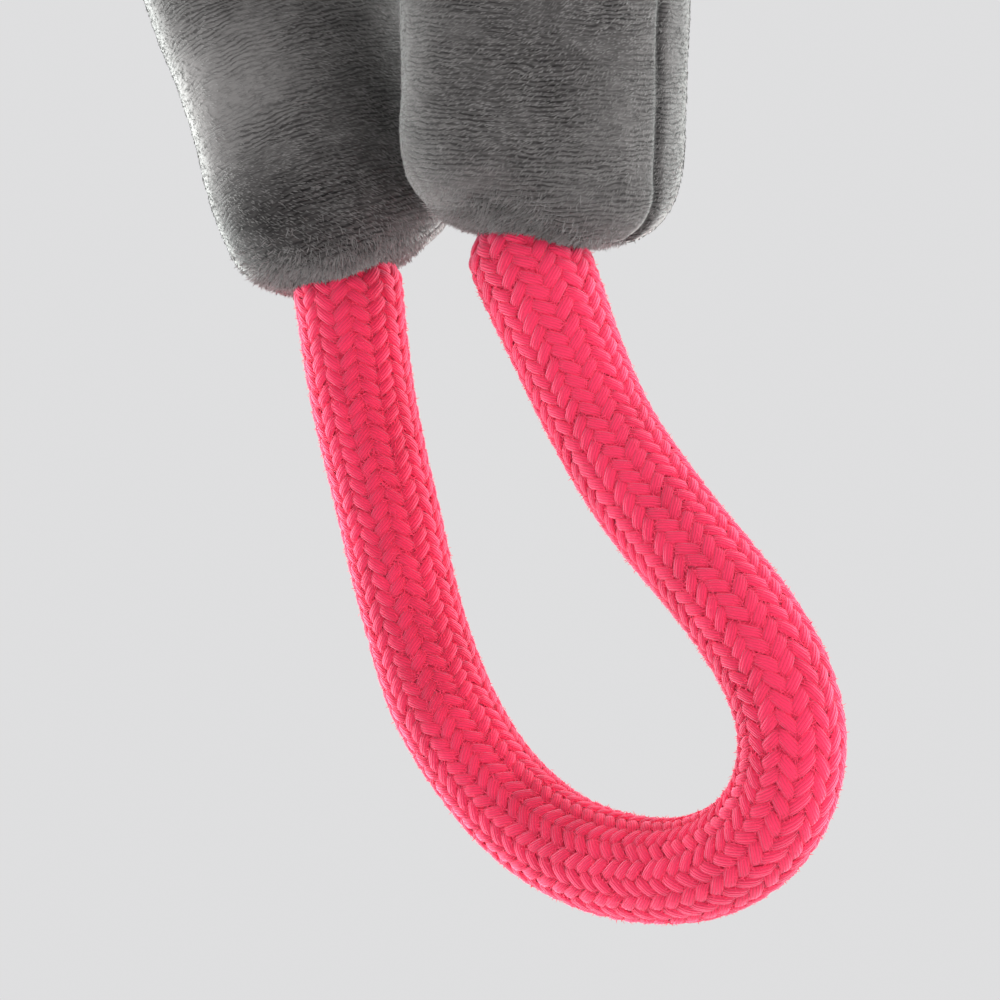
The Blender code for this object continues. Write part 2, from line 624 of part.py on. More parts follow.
def main():
    clear_scene()
    pile = material("grey_pile", (0.118, 0.108, 0.108), 0.95)
    lining = material("ear_lining", (0.56, 0.10, 0.17), 0.9)
    filling = material("polyester_filling", (0.80, 0.80, 0.78), 1.0)
    thread = material("charcoal_thread", (0.016, 0.015, 0.016), 0.6)
    cotton = material("pink_cotton", (0.86, 0.063, 0.14), 0.85)
    satin = material("label_satin", (0.82, 0.82, 0.80), 0.5)
    plastic = material("squeaker_plastic", (0.75, 0.75, 0.72), 0.4)
    axes = {}
    torso_stuffing = make_torso(pile, filling, axes)
    make_squeaker(torso_stuffing, plastic, axes)
    make_label(satin, axes)
    make_head(pile, lining, filling, thread, axes)
    make_arms(pile, filling, axes)
    make_legs(pile, filling, thread, cotton, axes)
    make_tail(pile, axes)
    make_rope(cotton)


main()
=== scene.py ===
"""Looks of a plush dog tug toy: a grey puppy that hangs by its crown, its feet joined by a braided rope."""
import math

import bmesh
import bpy
import numpy as np
from mathutils import Matrix, Vector


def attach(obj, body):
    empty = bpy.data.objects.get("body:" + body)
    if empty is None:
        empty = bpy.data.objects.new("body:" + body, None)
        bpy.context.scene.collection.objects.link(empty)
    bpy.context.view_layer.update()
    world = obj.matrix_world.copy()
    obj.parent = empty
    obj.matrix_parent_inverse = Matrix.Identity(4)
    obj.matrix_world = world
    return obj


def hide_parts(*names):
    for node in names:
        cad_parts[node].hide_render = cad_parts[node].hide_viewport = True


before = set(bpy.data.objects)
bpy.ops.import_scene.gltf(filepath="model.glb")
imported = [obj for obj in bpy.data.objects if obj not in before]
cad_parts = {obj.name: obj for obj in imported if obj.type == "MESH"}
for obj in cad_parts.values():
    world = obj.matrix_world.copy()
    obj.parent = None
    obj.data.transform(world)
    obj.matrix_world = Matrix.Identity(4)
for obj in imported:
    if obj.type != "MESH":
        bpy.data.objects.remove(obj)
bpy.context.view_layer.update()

# The camera looks level from the puppy's left front at its feet, and is rolled a little, so that the toy
# seems to swing to one side. A long lens stands close to the rope loop, which fills most of the picture.
VIEW_AZIMUTH = math.radians(38)
VIEW_ROLL = math.radians(9)
VIEW_DISTANCE = 0.75
VIEW_TARGET = Vector((0.0040, 0.0031, -0.3849))
LENS_MM = 148.5
SENSOR_MM = 36

level = Vector((math.cos(VIEW_AZIMUTH), math.sin(VIEW_AZIMUTH), 0))
forward = Vector((-math.sin(VIEW_AZIMUTH), math.cos(VIEW_AZIMUTH), 0))
upright = Vector((0, 0, 1))
to_right = level * math.cos(VIEW_ROLL) - upright * math.sin(VIEW_ROLL)
to_top = level * math.sin(VIEW_ROLL) + upright * math.cos(VIEW_ROLL)
lens = bpy.data.cameras.new("camera")
lens.lens = LENS_MM
lens.sensor_width = SENSOR_MM
lens.clip_start = VIEW_DISTANCE / 50
camera = bpy.data.objects.new("camera", lens)
camera.matrix_world = (Matrix.Translation(VIEW_TARGET - forward * VIEW_DISTANCE)
                       @ Matrix((to_right, to_top, -forward)).transposed().to_4x4())
bpy.context.scene.collection.objects.link(camera)
bpy.context.scene.camera = camera


# The tug loop is a thick tubular braid: eighteen flat bundles of soft pink yarn wind each way round it, each
# over two and under two. Its ends go up into the soles, and it hangs free between them, bent back on itself.
THROUGH = np.array([0, 1.0, 0])
ROPE_ROUTE = [(-0.0210, -0.3416), (-0.0215, -0.3520), (-0.0216, -0.3630), (-0.0208, -0.3740),
              (-0.0197, -0.3854), (-0.0188, -0.3960), (-0.0172, -0.4080), (-0.0144, -0.4195),
              (-0.0094, -0.4300), (-0.0026, -0.4392), (0.0060, -0.4466), (0.0162, -0.4516),
              (0.0274, -0.4542), (0.0386, -0.4542), (0.0494, -0.4506), (0.0575, -0.4432),
              (0.0614, -0.4335), (0.0606, -0.4235), (0.0562, -0.4135), (0.0502, -0.4044),
              (0.0440, -0.3960), (0.0384, -0.3876), (0.0336, -0.3790), (0.0298, -0.3700),
              (0.0268, -0.3610), (0.0240, -0.3515), (0.0210, -0.3416)]
ROPE_DIAMETER = 0.020
ROPE_INTO_SOLE = 0.007
ROPE_SLIMMING = 0.065
ROPE_UNEVEN = 0.018
SOLE_BULGE = 0.06
BULGE_FROM_END = 0.014
BULGE_REACH = 0.012
BUNDLES_EACH_WAY = 18
BRAID_ANGLE = math.radians(50)
STEPS_PER_CROSSING = 2.5
BUNDLE_THICKNESS = 0.0010
BUNDLE_OVERLAP = 1.04
BUNDLE_EDGE_SHARE = 0.42
BUNDLE_LIFT = 0.00031
BUNDLE_SEAT = 0.6
CROSSING_SOFTNESS = 0.22
THINNER_UNDER = 0.25
WIDER_OVER = 0.06
YARNS_IN_BUNDLE = 5
RIBS_IN_BUNDLE = 7
YARN_RIDGE = 0.00012
PINK = (0.90, 0.034, 0.108)
# The second pink is the deeper pink of painted shade, under and between the bundles.
PINK_IN_PAINTED_SHADE = (0.45, 0.009, 0.034)
# The fuzz's paler tip pink is painted light, for the glow of the loose ends lit from behind.
PINK_FUZZ_PAINTED_LIGHT = (0.97, 0.095, 0.190)
# Painted shade: the bundles' pink is darkened on the inner sides of the loop's upright strands, round its
# middle.
LOOP_MIDDLE = (0.014, 0, -0.395)
LOOP_PAINTED_SHADE = 1.9
LOOP_PAINTED_SHADE_WAYS = (1, 1, 0.3)
LOOP_PAINTED_SHADE_START = 0.25
ROPE_HAIRS = 62000
HAIR_LENGTH = 0.0015
HAIR_WIDTH = 0.00012
HAIR_TAPER = 0.25
HAIR_CURL = 0.42
HAIR_ROLL = 0.35
CORE_CELLS = (260, 24)
CORE_BELOW_BUNDLES = 0.0006


def smooth_line(points, steps):
    """A smooth line through the given points, with so many steps from each to the next."""
    points = np.asarray(points, float)
    ends = np.vstack([2 * points[0] - points[1], points, 2 * points[-1] - points[-2]])
    t = (np.arange(steps) / steps)[:, None]
    runs = []
    for a, b, c, d in zip(ends, ends[1:], ends[2:], ends[3:]):
        runs.append((2 * b + (c - a) * t + (2 * a - 5 * b + 4 * c - d) * t ** 2
                     + (3 * b - a - 3 * c + d) * t ** 3) / 2)
    return np.vstack(runs + [points[-1:]])


def unit(vectors):
    return vectors / np.maximum(np.linalg.norm(vectors, axis=-1, keepdims=True), 1e-12)


def cell_noise(places, cell, amount, seed):
    """Smooth noise up to an amount each way, at each place, from random values on a lattice of cells."""
    scaled = np.asarray(places, float) / cell
    corner = np.floor(scaled).astype(np.int64)
    share = scaled - corner
    share = share * share * (3 - 2 * share)
    total = np.zeros(len(scaled))
    for shift in np.ndindex(2, 2, 2):
        key = (corner + shift) @ np.array([73856093, 19349663, 83492791]) + seed * 40503
        key = (key ^ (key >> 13)) * 1274126177 & 0xFFFFFFFF
        key = (key ^ (key >> 16)) * 2246822519 & 0xFFFFFFFF
        weight = np.prod(np.where(shift, share, 1 - share), axis=1)
        total += weight * (((key ^ (key >> 15)) & 0xFFFF) / 0x7FFF - 1)
    return total * amount


def flat_grid(along, across):
    """A flat sheet of so many cells each way, from -1 to 1, and where its vertices lie."""
    bm = bmesh.new()
    bmesh.ops.create_grid(bm, x_segments=along, y_segments=across, size=1)
    return bm, np.array([vertex.co[:2] for vertex in bm.verts])


def in_scene(name, mesh, finish):
    """The object of a mesh, smooth and in its finish."""
    mesh.shade_smooth()
    mesh.materials.append(finish)
    made = bpy.data.objects.new(name, mesh)
    bpy.context.scene.collection.objects.link(made)
    return made


def mesh_of(name, bm):
    mesh = bpy.data.meshes.new(name)
    bm.to_mesh(mesh)
    bm.free()
    return mesh


def set_places(mesh, places):
    mesh.vertices.foreach_set("co", places.astype(np.float32).ravel())


def set_facts(mesh, facts):
    """Keeps numbers at a mesh's points, for its material to read."""
    for fact, values in facts.items():
        kept = mesh.attributes.new(fact, "FLOAT", "POINT")
        kept.data.foreach_set("value", values.astype(np.float32).ravel())


def repeat_shape(name, bm, corners, finish, facts):
    """One object of many copies of a small shape. corners has a row of vertex places for each copy."""
    one = mesh_of(name, bm)
    copies, size = corners.shape[:2]
    loops = np.empty(len(one.loops), np.int32)
    starts = np.empty(len(one.polygons), np.int32)
    one.loops.foreach_get("vertex_index", loops)
    one.polygons.foreach_get("loop_start", starts)
    order = np.arange(copies)[:, None]
    mesh = bpy.data.meshes.new(name)
    mesh.vertices.add(copies * size)
    set_places(mesh, corners)
    mesh.loops.add(copies * len(loops))
    mesh.loops.foreach_set("vertex_index", (loops + order * size).astype(np.int32).ravel())
    mesh.polygons.add(copies * len(starts))
    mesh.polygons.foreach_set("loop_start", (starts + order * len(loops)).astype(np.int32).ravel())
    mesh.update(calc_edges=True)
    set_facts(mesh, facts)
    bpy.data.meshes.remove(one)
    return in_scene(name, mesh, finish)


class Finish:
    """A fresh material with the given settings on its shader, and shortcuts for adding nodes to it."""

    def __init__(self, name, settings):
        self.material = bpy.data.materials.new(name)
        self.material.use_nodes = True
        self.tree = self.material.node_tree
        self.shader = self.tree.nodes["Principled BSDF"]
        self.give(self.shader, settings)

    def give(self, node, inputs):
        """Links each input to the output that it is given, or sets it to the value."""
        for key, value in inputs.items():
            if isinstance(value, bpy.types.NodeSocket):
                self.tree.links.new(value, node.inputs[key])
            else:
                node.inputs[key].default_value = value

    def add(self, kind, inputs, output=0, **settings):
        """A new node. Returns one of its outputs."""
        node = self.tree.nodes.new("ShaderNode" + kind)
        for key, value in settings.items():
            setattr(node, key, value)
        self.give(node, inputs)
        return node.outputs[output]

    def fact(self, name, output="Fac"):
        """What the mesh keeps at its points under a name."""
        return self.add("Attribute", {}, output, attribute_name=name)

    def noise(self, scale, detail, place=None, roughness=0.5, distortion=0):
        """Noise at a place, which is the object's own unless another is given."""
        place = place or self.add("TexCoord", {}, "Object")
        return self.add("TexNoise", {"Vector": place, "Scale": scale, "Detail": detail,
                                     "Roughness": roughness, "Distortion": distortion})

    def maths(self, operation, *values):
        return self.add("Math", dict(enumerate(values)), operation=operation)

    def mixed(self, start, *parts):
        """The start, plus each part times its weight."""
        for part, weight in parts:
            start = self.maths("MULTIPLY_ADD", part, weight, start)
        return start

    def ramp(self, share, *stops):
        """Colours that change with a share, from stops of a position and a colour."""
        output = self.add("ValToRGB", {"Fac": share})
        elements = output.node.color_ramp.elements
        for position, _ in stops[1:-1]:
            elements.new(position)
        for element, (position, colour) in zip(elements, stops):
            element.position = position
            element.color = (*colour, 1)
        return output

    def wear(self, colour, relief=None, strength=1, depth=0):
        """Gives the shader its colour, and a relief as a bump. Returns the material."""
        self.give(self.shader, {"Base Color": colour})
        if relief:
            bump = self.add("Bump", {"Height": relief, "Strength": strength, "Distance": depth})
            self.give(self.shader, {"Normal": bump})
        return self.material


def shaded(colour, share):
    return tuple(part * share for part in colour)


def yarn_finish(name, colour, painted_shade):
    """Soft spun yarn, finely hairy along each: paler where it stands proud, and deeper between bundles and
    yarns as painted shade.
    """
    yarn = Finish(name, {"Roughness": 0.85, "Specular IOR Level": 0.15, "Sheen Weight": 1.0,
                         "Sheen Roughness": 0.5, "Sheen Tint": (1.0, 0.36, 0.50, 1)})
    hair = yarn.noise(2600, 3, roughness=0.7)
    patch = yarn.add("MapRange", {"Value": yarn.noise(58, 1), "From Min": 0.36, "From Max": 0.62})
    turn = yarn.maths("MULTIPLY", yarn.fact("side"), math.pi * YARNS_IN_BUNDLE / 2)
    turn = yarn.mixed(turn, (yarn.noise(420, 1), 2.2))
    round_yarn = yarn.maths("ABSOLUTE", yarn.maths("SINE", turn))
    round_yarn = yarn.maths("POWER", round_yarn, 0.6)
    # Painted shade: the pink deepens where a bundle dives under another and between its yarns. The tone adds
    # random tone and the loop's painted shade.
    share = yarn.mixed(0, (yarn.fact("proud"), 0.46), (round_yarn, 0.20), (hair, 0.22),
                       (yarn.noise(240, 2), 0.16), (yarn.fact("tone"), 0.10), (patch, 0.24))
    colours = yarn.ramp(share, (0.35, painted_shade), (0.95, colour))
    return yarn.wear(colours, yarn.mixed(round_yarn, (hair, 0.5)), 0.7, 0.00020)


class Route:
    """A line followed at even steps, with its directions across and through it."""

    def __init__(self, line):
        self.line = line
        steps = np.linalg.norm(np.diff(line, axis=0), axis=1)
        self.along = np.concatenate([[0], np.cumsum(steps)])
        self.length = self.along[-1]
        self.way = unit(np.gradient(line, self.along, axis=0))
        self.through = np.broadcast_to(THROUGH, self.way.shape)
        self.across = unit(np.cross(self.through, self.way))

    def at(self, distance, values):
        flat = [np.interp(distance, self.along, column) for column in values.T]
        return np.stack(flat, axis=-1)


def braid(name, route, radius, lay, finish, seed):
    """The bundles that wind one way round a route. radius gives the girth at a distance, lay is 1 or -1."""
    girth = math.pi * ROPE_DIAMETER
    turn_length = girth / math.tan(BRAID_ANGLE)
    crossing = turn_length / (2 * BUNDLES_EACH_WAY)
    width = girth / BUNDLES_EACH_WAY * math.cos(BRAID_ANGLE) * BUNDLE_OVERLAP
    bm, grid = flat_grid(round(route.length / crossing * STEPS_PER_CROSSING), RIBS_IN_BUNDLE)
    distance = (grid[:, 0] + 1) / 2 * route.length
    down_line = np.outer(distance, (1, 0, 0))
    side = grid[:, 1]
    belly = 1 - (1 - BUNDLE_EDGE_SHARE) * np.abs(side) ** 5
    ridge = np.abs(np.sin(side * math.pi * YARNS_IN_BUNDLE / 2)) * YARN_RIDGE
    rng = np.random.default_rng(seed)
    copies, proud, tone = [], [], []
    for bundle in range(BUNDLES_EACH_WAY):
        own = rng.uniform(0, 100, 3)
        wander = cell_noise(down_line + own, 0.009, 0.075, seed) + cell_noise(down_line, 0.030, 0.16, 5)
        spread = 1 + cell_noise(down_line + own, 0.006, 0.13, seed + 1)
        turn = 2 * math.pi * (bundle / BUNDLES_EACH_WAY + lay * distance / turn_length) + wander
        swing = np.cos(turn * BUNDLES_EACH_WAY / 2)
        over = lay * swing / np.sqrt(swing ** 2 + CROSSING_SOFTNESS)
        thickness = belly * BUNDLE_THICKNESS * (1 - THINNER_UNDER + THINNER_UNDER * over)
        lift = over * BUNDLE_LIFT + thickness + ridge * belly
        sideways = side * width / 2 * spread * (1 + WIDER_OVER * over)
        turn = turn - lay * sideways * math.cos(BRAID_ANGLE) / (ROPE_DIAMETER / 2)
        along = np.clip(distance + sideways * math.sin(BRAID_ANGLE), 0, route.length)
        centre = route.at(along, route.line)
        across = route.at(along, route.across)
        through = route.at(along, route.through)
        reach = radius(along) - BUNDLE_THICKNESS - BUNDLE_LIFT * BUNDLE_SEAT + lift
        out = across * np.cos(turn)[:, None] + through * np.sin(turn)[:, None]
        copies.append(centre + out * reach[:, None])
        proud.append(0.5 + 0.5 * over * belly)
        # Painted shade: the tone drops where a bundle faces in towards the loop's middle.
        inward = (out * unit(LOOP_MIDDLE - centre) * LOOP_PAINTED_SHADE_WAYS).sum(axis=1)
        tone.append(rng.uniform(0, 1) - LOOP_PAINTED_SHADE * np.clip(inward + LOOP_PAINTED_SHADE_START, 0, 1))
    facts = {"proud": np.array(proud), "tone": np.array(tone), "side": np.tile(side, (BUNDLES_EACH_WAY, 1))}
    return repeat_shape(name, bm, np.array(copies), finish, facts)


route_points = np.array([(x, 0, z) for x, z in ROPE_ROUTE])
rope_line = smooth_line(route_points, 10)
start_way = unit(rope_line[0] - rope_line[1])
end_way = unit(rope_line[-1] - rope_line[-2])
tail_steps = np.linspace(1, 0, 5)[:-1, None] * ROPE_INTO_SOLE
whole_line = np.vstack([rope_line[0] + start_way * tail_steps, rope_line,
                        (rope_line[-1] + end_way * tail_steps)[::-1]])
rope_route = Route(whole_line)


def rope_radius(along):
    """Fullest at the soles, slimmer and uneven where it hangs, and gathered in inside the soles."""
    from_end = np.minimum(along, rope_route.length - along)
    gathered = np.sin(np.clip(from_end / ROPE_INTO_SOLE, 0, 1) * math.pi / 2)
    slim = ROPE_SLIMMING * np.clip((from_end - ROPE_INTO_SOLE) / (5 * ROPE_INTO_SOLE), 0, 1)
    uneven = cell_noise(np.outer(along, (1, 0, 0)), 0.017, ROPE_UNEVEN, 9)
    uneven += SOLE_BULGE * np.exp(-((rope_route.length - along - BULGE_FROM_END) / BULGE_REACH) ** 2)
    return ROPE_DIAMETER / 2 * (0.55 + 0.45 * gathered) * (1 - slim + uneven)


def tapered_hairs(name, roots, rise, lay, lean, reach, width, finish, tone, seed):
    """Thin hairs that narrow to a point. rise is the way the surface faces, and lay the way they lie."""
    bm, _ = flat_grid(1, 2)
    top = [vertex for vertex in bm.verts if vertex.co.y > 0.5]
    bmesh.ops.weld_verts(bm, targetmap={top[1]: top[0]})
    top[0].co.x = 0
    side, up = np.array([vertex.co[:2] for vertex in bm.verts]).T
    up = (up + 1) / 2
    roll = np.random.default_rng(seed).normal(0, HAIR_ROLL, len(roots))
    flat = np.cross(rise, lay) * np.cos(roll)[:, None] + rise * np.sin(roll)[:, None]
    standing = np.sin(lean)[:, None] * (up - HAIR_CURL * up ** 2)
    spine = lay[:, None] * np.cos(lean)[:, None, None] * up[:, None] + rise[:, None] * standing[..., None]
    spread = side * (1 - HAIR_TAPER * up) * width / 2
    places = roots[:, None] + spine * reach[:, None, None] + flat[:, None] * spread[:, None]
    facts = {"ridge": np.repeat(tone[:, None], len(up), axis=1),
             "tip": np.repeat(up[None], len(roots), axis=0)}
    return repeat_shape(name, bm, places, finish, facts)


def loose_hairs(name, route, radius, finish, count, seed):
    """The fuzz of loose yarn ends that softens a braid's edges."""
    rng = np.random.default_rng(seed)
    along = rng.uniform(ROPE_INTO_SOLE, route.length - ROPE_INTO_SOLE, count)
    turn = rng.uniform(0, 2 * math.pi, count)
    across, through = route.at(along, route.across), route.at(along, route.through)
    rise = across * np.cos(turn)[:, None] + through * np.sin(turn)[:, None]
    roots = route.at(along, route.line) + rise * (radius(along) - BUNDLE_LIFT)[:, None]
    around = through * np.cos(turn)[:, None] - across * np.sin(turn)[:, None]
    swing = rng.uniform(0, 2 * math.pi, count)
    lay = route.at(along, route.way) * np.cos(swing)[:, None] + around * np.sin(swing)[:, None]
    lean = np.abs(rng.normal(0.26, 0.42, count))
    reach = HAIR_LENGTH * rng.uniform(0.5, 1.4, count)
    tone = rng.uniform(0.3, 1, count)
    return tapered_hairs(name, roots, rise, lay, lean, reach, HAIR_WIDTH, finish, tone, seed)


def fuzz_finish(name, colour, painted_lit_tip_colour, sheen, tint):
    """Loose fibre ends, a little darker at their roots as painted shade, and paler towards their tips as
    painted light.
    """
    fuzz = Finish(name, {"Roughness": 0.9, "Specular IOR Level": 0.1, "Sheen Weight": sheen,
                         "Sheen Roughness": 0.4, "Sheen Tint": (*tint, 1)})
    share = fuzz.mixed(0, (fuzz.fact("tip"), 0.40), (fuzz.fact("ridge"), 0.30), (fuzz.noise(48, 3), 0.40))
    return fuzz.wear(fuzz.ramp(share, (0.2, colour), (0.95, painted_lit_tip_colour)))


rope_pink = yarn_finish("pink_yarn", PINK, PINK_IN_PAINTED_SHADE)
pink_fuzz = fuzz_finish("pink_fuzz", PINK, PINK_FUZZ_PAINTED_LIGHT, 0.3, (1.0, 0.45, 0.55))
rope = braid("rope_bundles_one_way", rope_route, rope_radius, 1, rope_pink, 11)
rope_back = braid("rope_bundles_other_way", rope_route, rope_radius, -1, rope_pink, 12)
rope_fuzz = loose_hairs("rope_fuzz", rope_route, rope_radius, pink_fuzz, ROPE_HAIRS, 13)

bm, _ = flat_grid(*CORE_CELLS)
for vertex in bm.verts:
    along = np.array([(vertex.co.x + 1) / 2 * rope_route.length])
    turn = vertex.co.y * math.pi
    out = rope_route.at(along, rope_route.across) * math.cos(turn) + THROUGH * math.sin(turn)
    reach = rope_radius(along) - CORE_BELOW_BUNDLES
    vertex.co = (rope_route.at(along, rope_route.line) + out * reach)[0]
bmesh.ops.remove_doubles(bm, verts=bm.verts, dist=BUNDLE_LIFT / 4)
bmesh.ops.holes_fill(bm, edges=bm.edges)
bmesh.ops.recalc_face_normals(bm, faces=bm.faces)
# The core's pink is mottled down to a darker pink: painted shade for the gaps between the bundles, where it
# shows.
matted = Finish("pink_core", {"Roughness": 0.9})
matted_pink = matted.wear(matted.ramp(matted.noise(700, 2), (0, shaded(PINK_IN_PAINTED_SHADE, 1.2)), (1, PINK)))
rope_core = in_scene("rope_core", mesh_of("rope_core", bm), matted_pink)

for piece in (rope, rope_back, rope_fuzz, rope_core):
    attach(piece, "rope")
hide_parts("rope_loop")


# The plush is short velvety pile: a skin with fine wavy furrows across each limb, under a thin fuzz of
# fibres that lie along them. Every stuffed form is worked out from rows of ovals, made a little lumpy and
# drawn in at the seams where its cut panels are sewn together.
SKIN_BELOW_PILE = 0.0006
FURROW_APART = 0.0012
FURROW_LONG = 0.0042
FURROW_WAVER = 0.0010
FURROW_DEPTH = 0.00015
CREASE_APART = 0.00088
CREASE_WAVES = 18
LUMP_SIZE = 0.026
SEAM_DEPTH = 0.0010
SEAM_WIDTH = 0.0012
SEAM_WANDER = 0.0006
SEAM_PUCKER = 0.28
FIBRE_WIDTH = 0.00014
FIBRE_LEAN = 0.32
TUFT_LEAN = 0.95
LEAN_SPREAD = 0.13
LENGTH_SPREAD = 0.22
RIDGE_LEAN = 0.15
BROAD_SWIRL = (0.020, 0.5)
FINE_SWIRL = (0.005, 0.35)
SWING_SPREAD = 0.16
SIDE_NUDGE = 0.0012
DOWN = np.array([0, 0, -1.0])
ACROSS = np.array([1.0, 0, 0])
# The darkest stop of the grey pile is painted shade, for the bottoms of its furrows and seams.
GREY_PILE = [(0.40, (0.012, 0.011, 0.011)), (0.70, (0.068, 0.064, 0.063)), (1.0, (0.168, 0.161, 0.157))]
COOL_TINT = (0.95, 1.0, 0.96)


def spaced_rows(rows, stations):
    """Rows of a centre and two half axes, smoothed and spread evenly down the form's side."""
    fine = smooth_line(np.asarray(rows, float).reshape(len(rows), 9), 12)
    girth = np.linalg.norm(fine[:, 3:6], axis=1)
    steps = np.hypot(np.linalg.norm(np.diff(fine[:, :3], axis=0), axis=1), np.diff(girth))
    along = np.concatenate([[0], np.cumsum(steps)])
    even = np.linspace(0, along[-1], stations + 1)
    return np.stack([np.interp(even, along, column) for column in fine.T], axis=1)


def vertex_values(collection, key, width):
    flat = np.empty(len(collection) * width, np.float32)
    collection.foreach_get(key, flat)
    return flat.reshape(-1, width).astype(float)


def furrows(places, axis, seed):
    """From 0 in a furrow to 1 on a ridge. The furrows run across the axis and waver a little."""
    waver = np.stack([cell_noise(places, 0.009, FURROW_WAVER, seed + n) for n in range(3)], axis=1)
    places = places + waver
    high = places @ axis
    flat = places - high[:, None] * axis
    stretched = flat / FURROW_LONG + np.outer(high, axis) / FURROW_APART
    coarse = np.abs(cell_noise(stretched, 1.0, 2.2, seed + 5))
    fine = np.abs(cell_noise(stretched * 1.9, 1.0, 2.0, seed + 6))
    return np.clip(np.minimum(coarse, 0.35 + fine), 0, 1) ** 0.7


def stuffed(name, rows, finish, seed, size=(190, 240), square=2.0, lumps=0.0007, seams=(), axis=DOWN,
            bend=(0, 0, 0), sunk=SKIN_BELOW_PILE, settle=None, painted_light_patches=()):
    """A closed stuffed form. seams are the turns at which its panels are sewn together, down its whole
    length, and settle moves its places to where the filled form hangs. painted_light_patches has the places
    where its pile is painted paler as painted light, or darker as painted shade, each with a reach and an
    amount."""
    around, stations = size
    rows = spaced_rows(rows, stations)
    bm = bmesh.new()
    bmesh.ops.create_uvsphere(bm, u_segments=around, v_segments=stations, radius=1)
    ball = np.array([vertex.co for vertex in bm.verts])
    station = np.rint(np.arccos(np.clip(ball[:, 2], -1, 1)) / math.pi * stations).astype(int)
    turn = np.arctan2(ball[:, 1], ball[:, 0])
    wide = np.sign(np.cos(turn)) * np.abs(np.cos(turn)) ** (2 / square)
    deep = np.sign(np.sin(turn)) * np.abs(np.sin(turn)) ** (2 / square)
    row = rows[station]
    half_wide, half_deep = np.linalg.norm(row[:, 3:6], axis=1), np.linalg.norm(row[:, 6:], axis=1)
    edge = half_deep * np.abs(deep) / np.linalg.norm(rows[:, 6:], axis=1).max()
    places = row[:, :3] + row[:, 3:6] * wide[:, None] + row[:, 6:] * deep[:, None]
    places = places + np.outer(edge ** 2, bend)
    if settle:
        places = settle(places)
    for vertex, place in zip(bm.verts, places):
        vertex.co = place
    bmesh.ops.recalc_face_normals(bm, faces=bm.faces)
    mesh = mesh_of(name, bm)
    outward = vertex_values(mesh.vertex_normals, "vector", 3)
    girth = (half_wide + half_deep) / 2
    wander = cell_noise(places, 0.011, SEAM_WANDER, seed + 20)
    groove = np.zeros(len(places))
    for seam in seams:
        apart = np.angle(np.exp(1j * (turn - seam))) * girth + wander
        groove = np.maximum(groove, np.exp(-(apart / SEAM_WIDTH) ** 2))
    groove *= 1 - SEAM_PUCKER + cell_noise(places, 0.0035, SEAM_PUCKER, seed + 21)
    ridge = furrows(places, axis, seed)
    swell = cell_noise(places, LUMP_SIZE, lumps, seed + 1)
    swell = swell + cell_noise(places, LUMP_SIZE / 2.6, lumps, seed + 2) / 3
    lift = swell - sunk - SEAM_DEPTH * groove + (ridge - 0.6) * FURROW_DEPTH * (1 - groove)
    places = places + outward * lift[:, None]
    set_places(mesh, places)
    mesh.update()
    # pale holds the painted light, and painted shade where an amount is negative.
    pale = np.zeros(len(places))
    for place, reach, amount in painted_light_patches:
        pale += amount * np.exp(-((places - place) ** 2).sum(axis=1) / reach ** 2)
    set_facts(mesh, {"ridge": ridge * (1 - 0.75 * groove), "groove": groove, "pale": pale})
    sideways = unit(np.cross(axis, THROUGH))
    lie = np.stack([places @ sideways, places @ np.cross(axis, sideways), places @ axis], axis=1) + seed
    kept_lie = mesh.attributes.new("lie", "FLOAT_VECTOR", "POINT")
    kept_lie.data.foreach_set("vector", lie.astype(np.float32).ravel())
    return in_scene(name, mesh, finish)


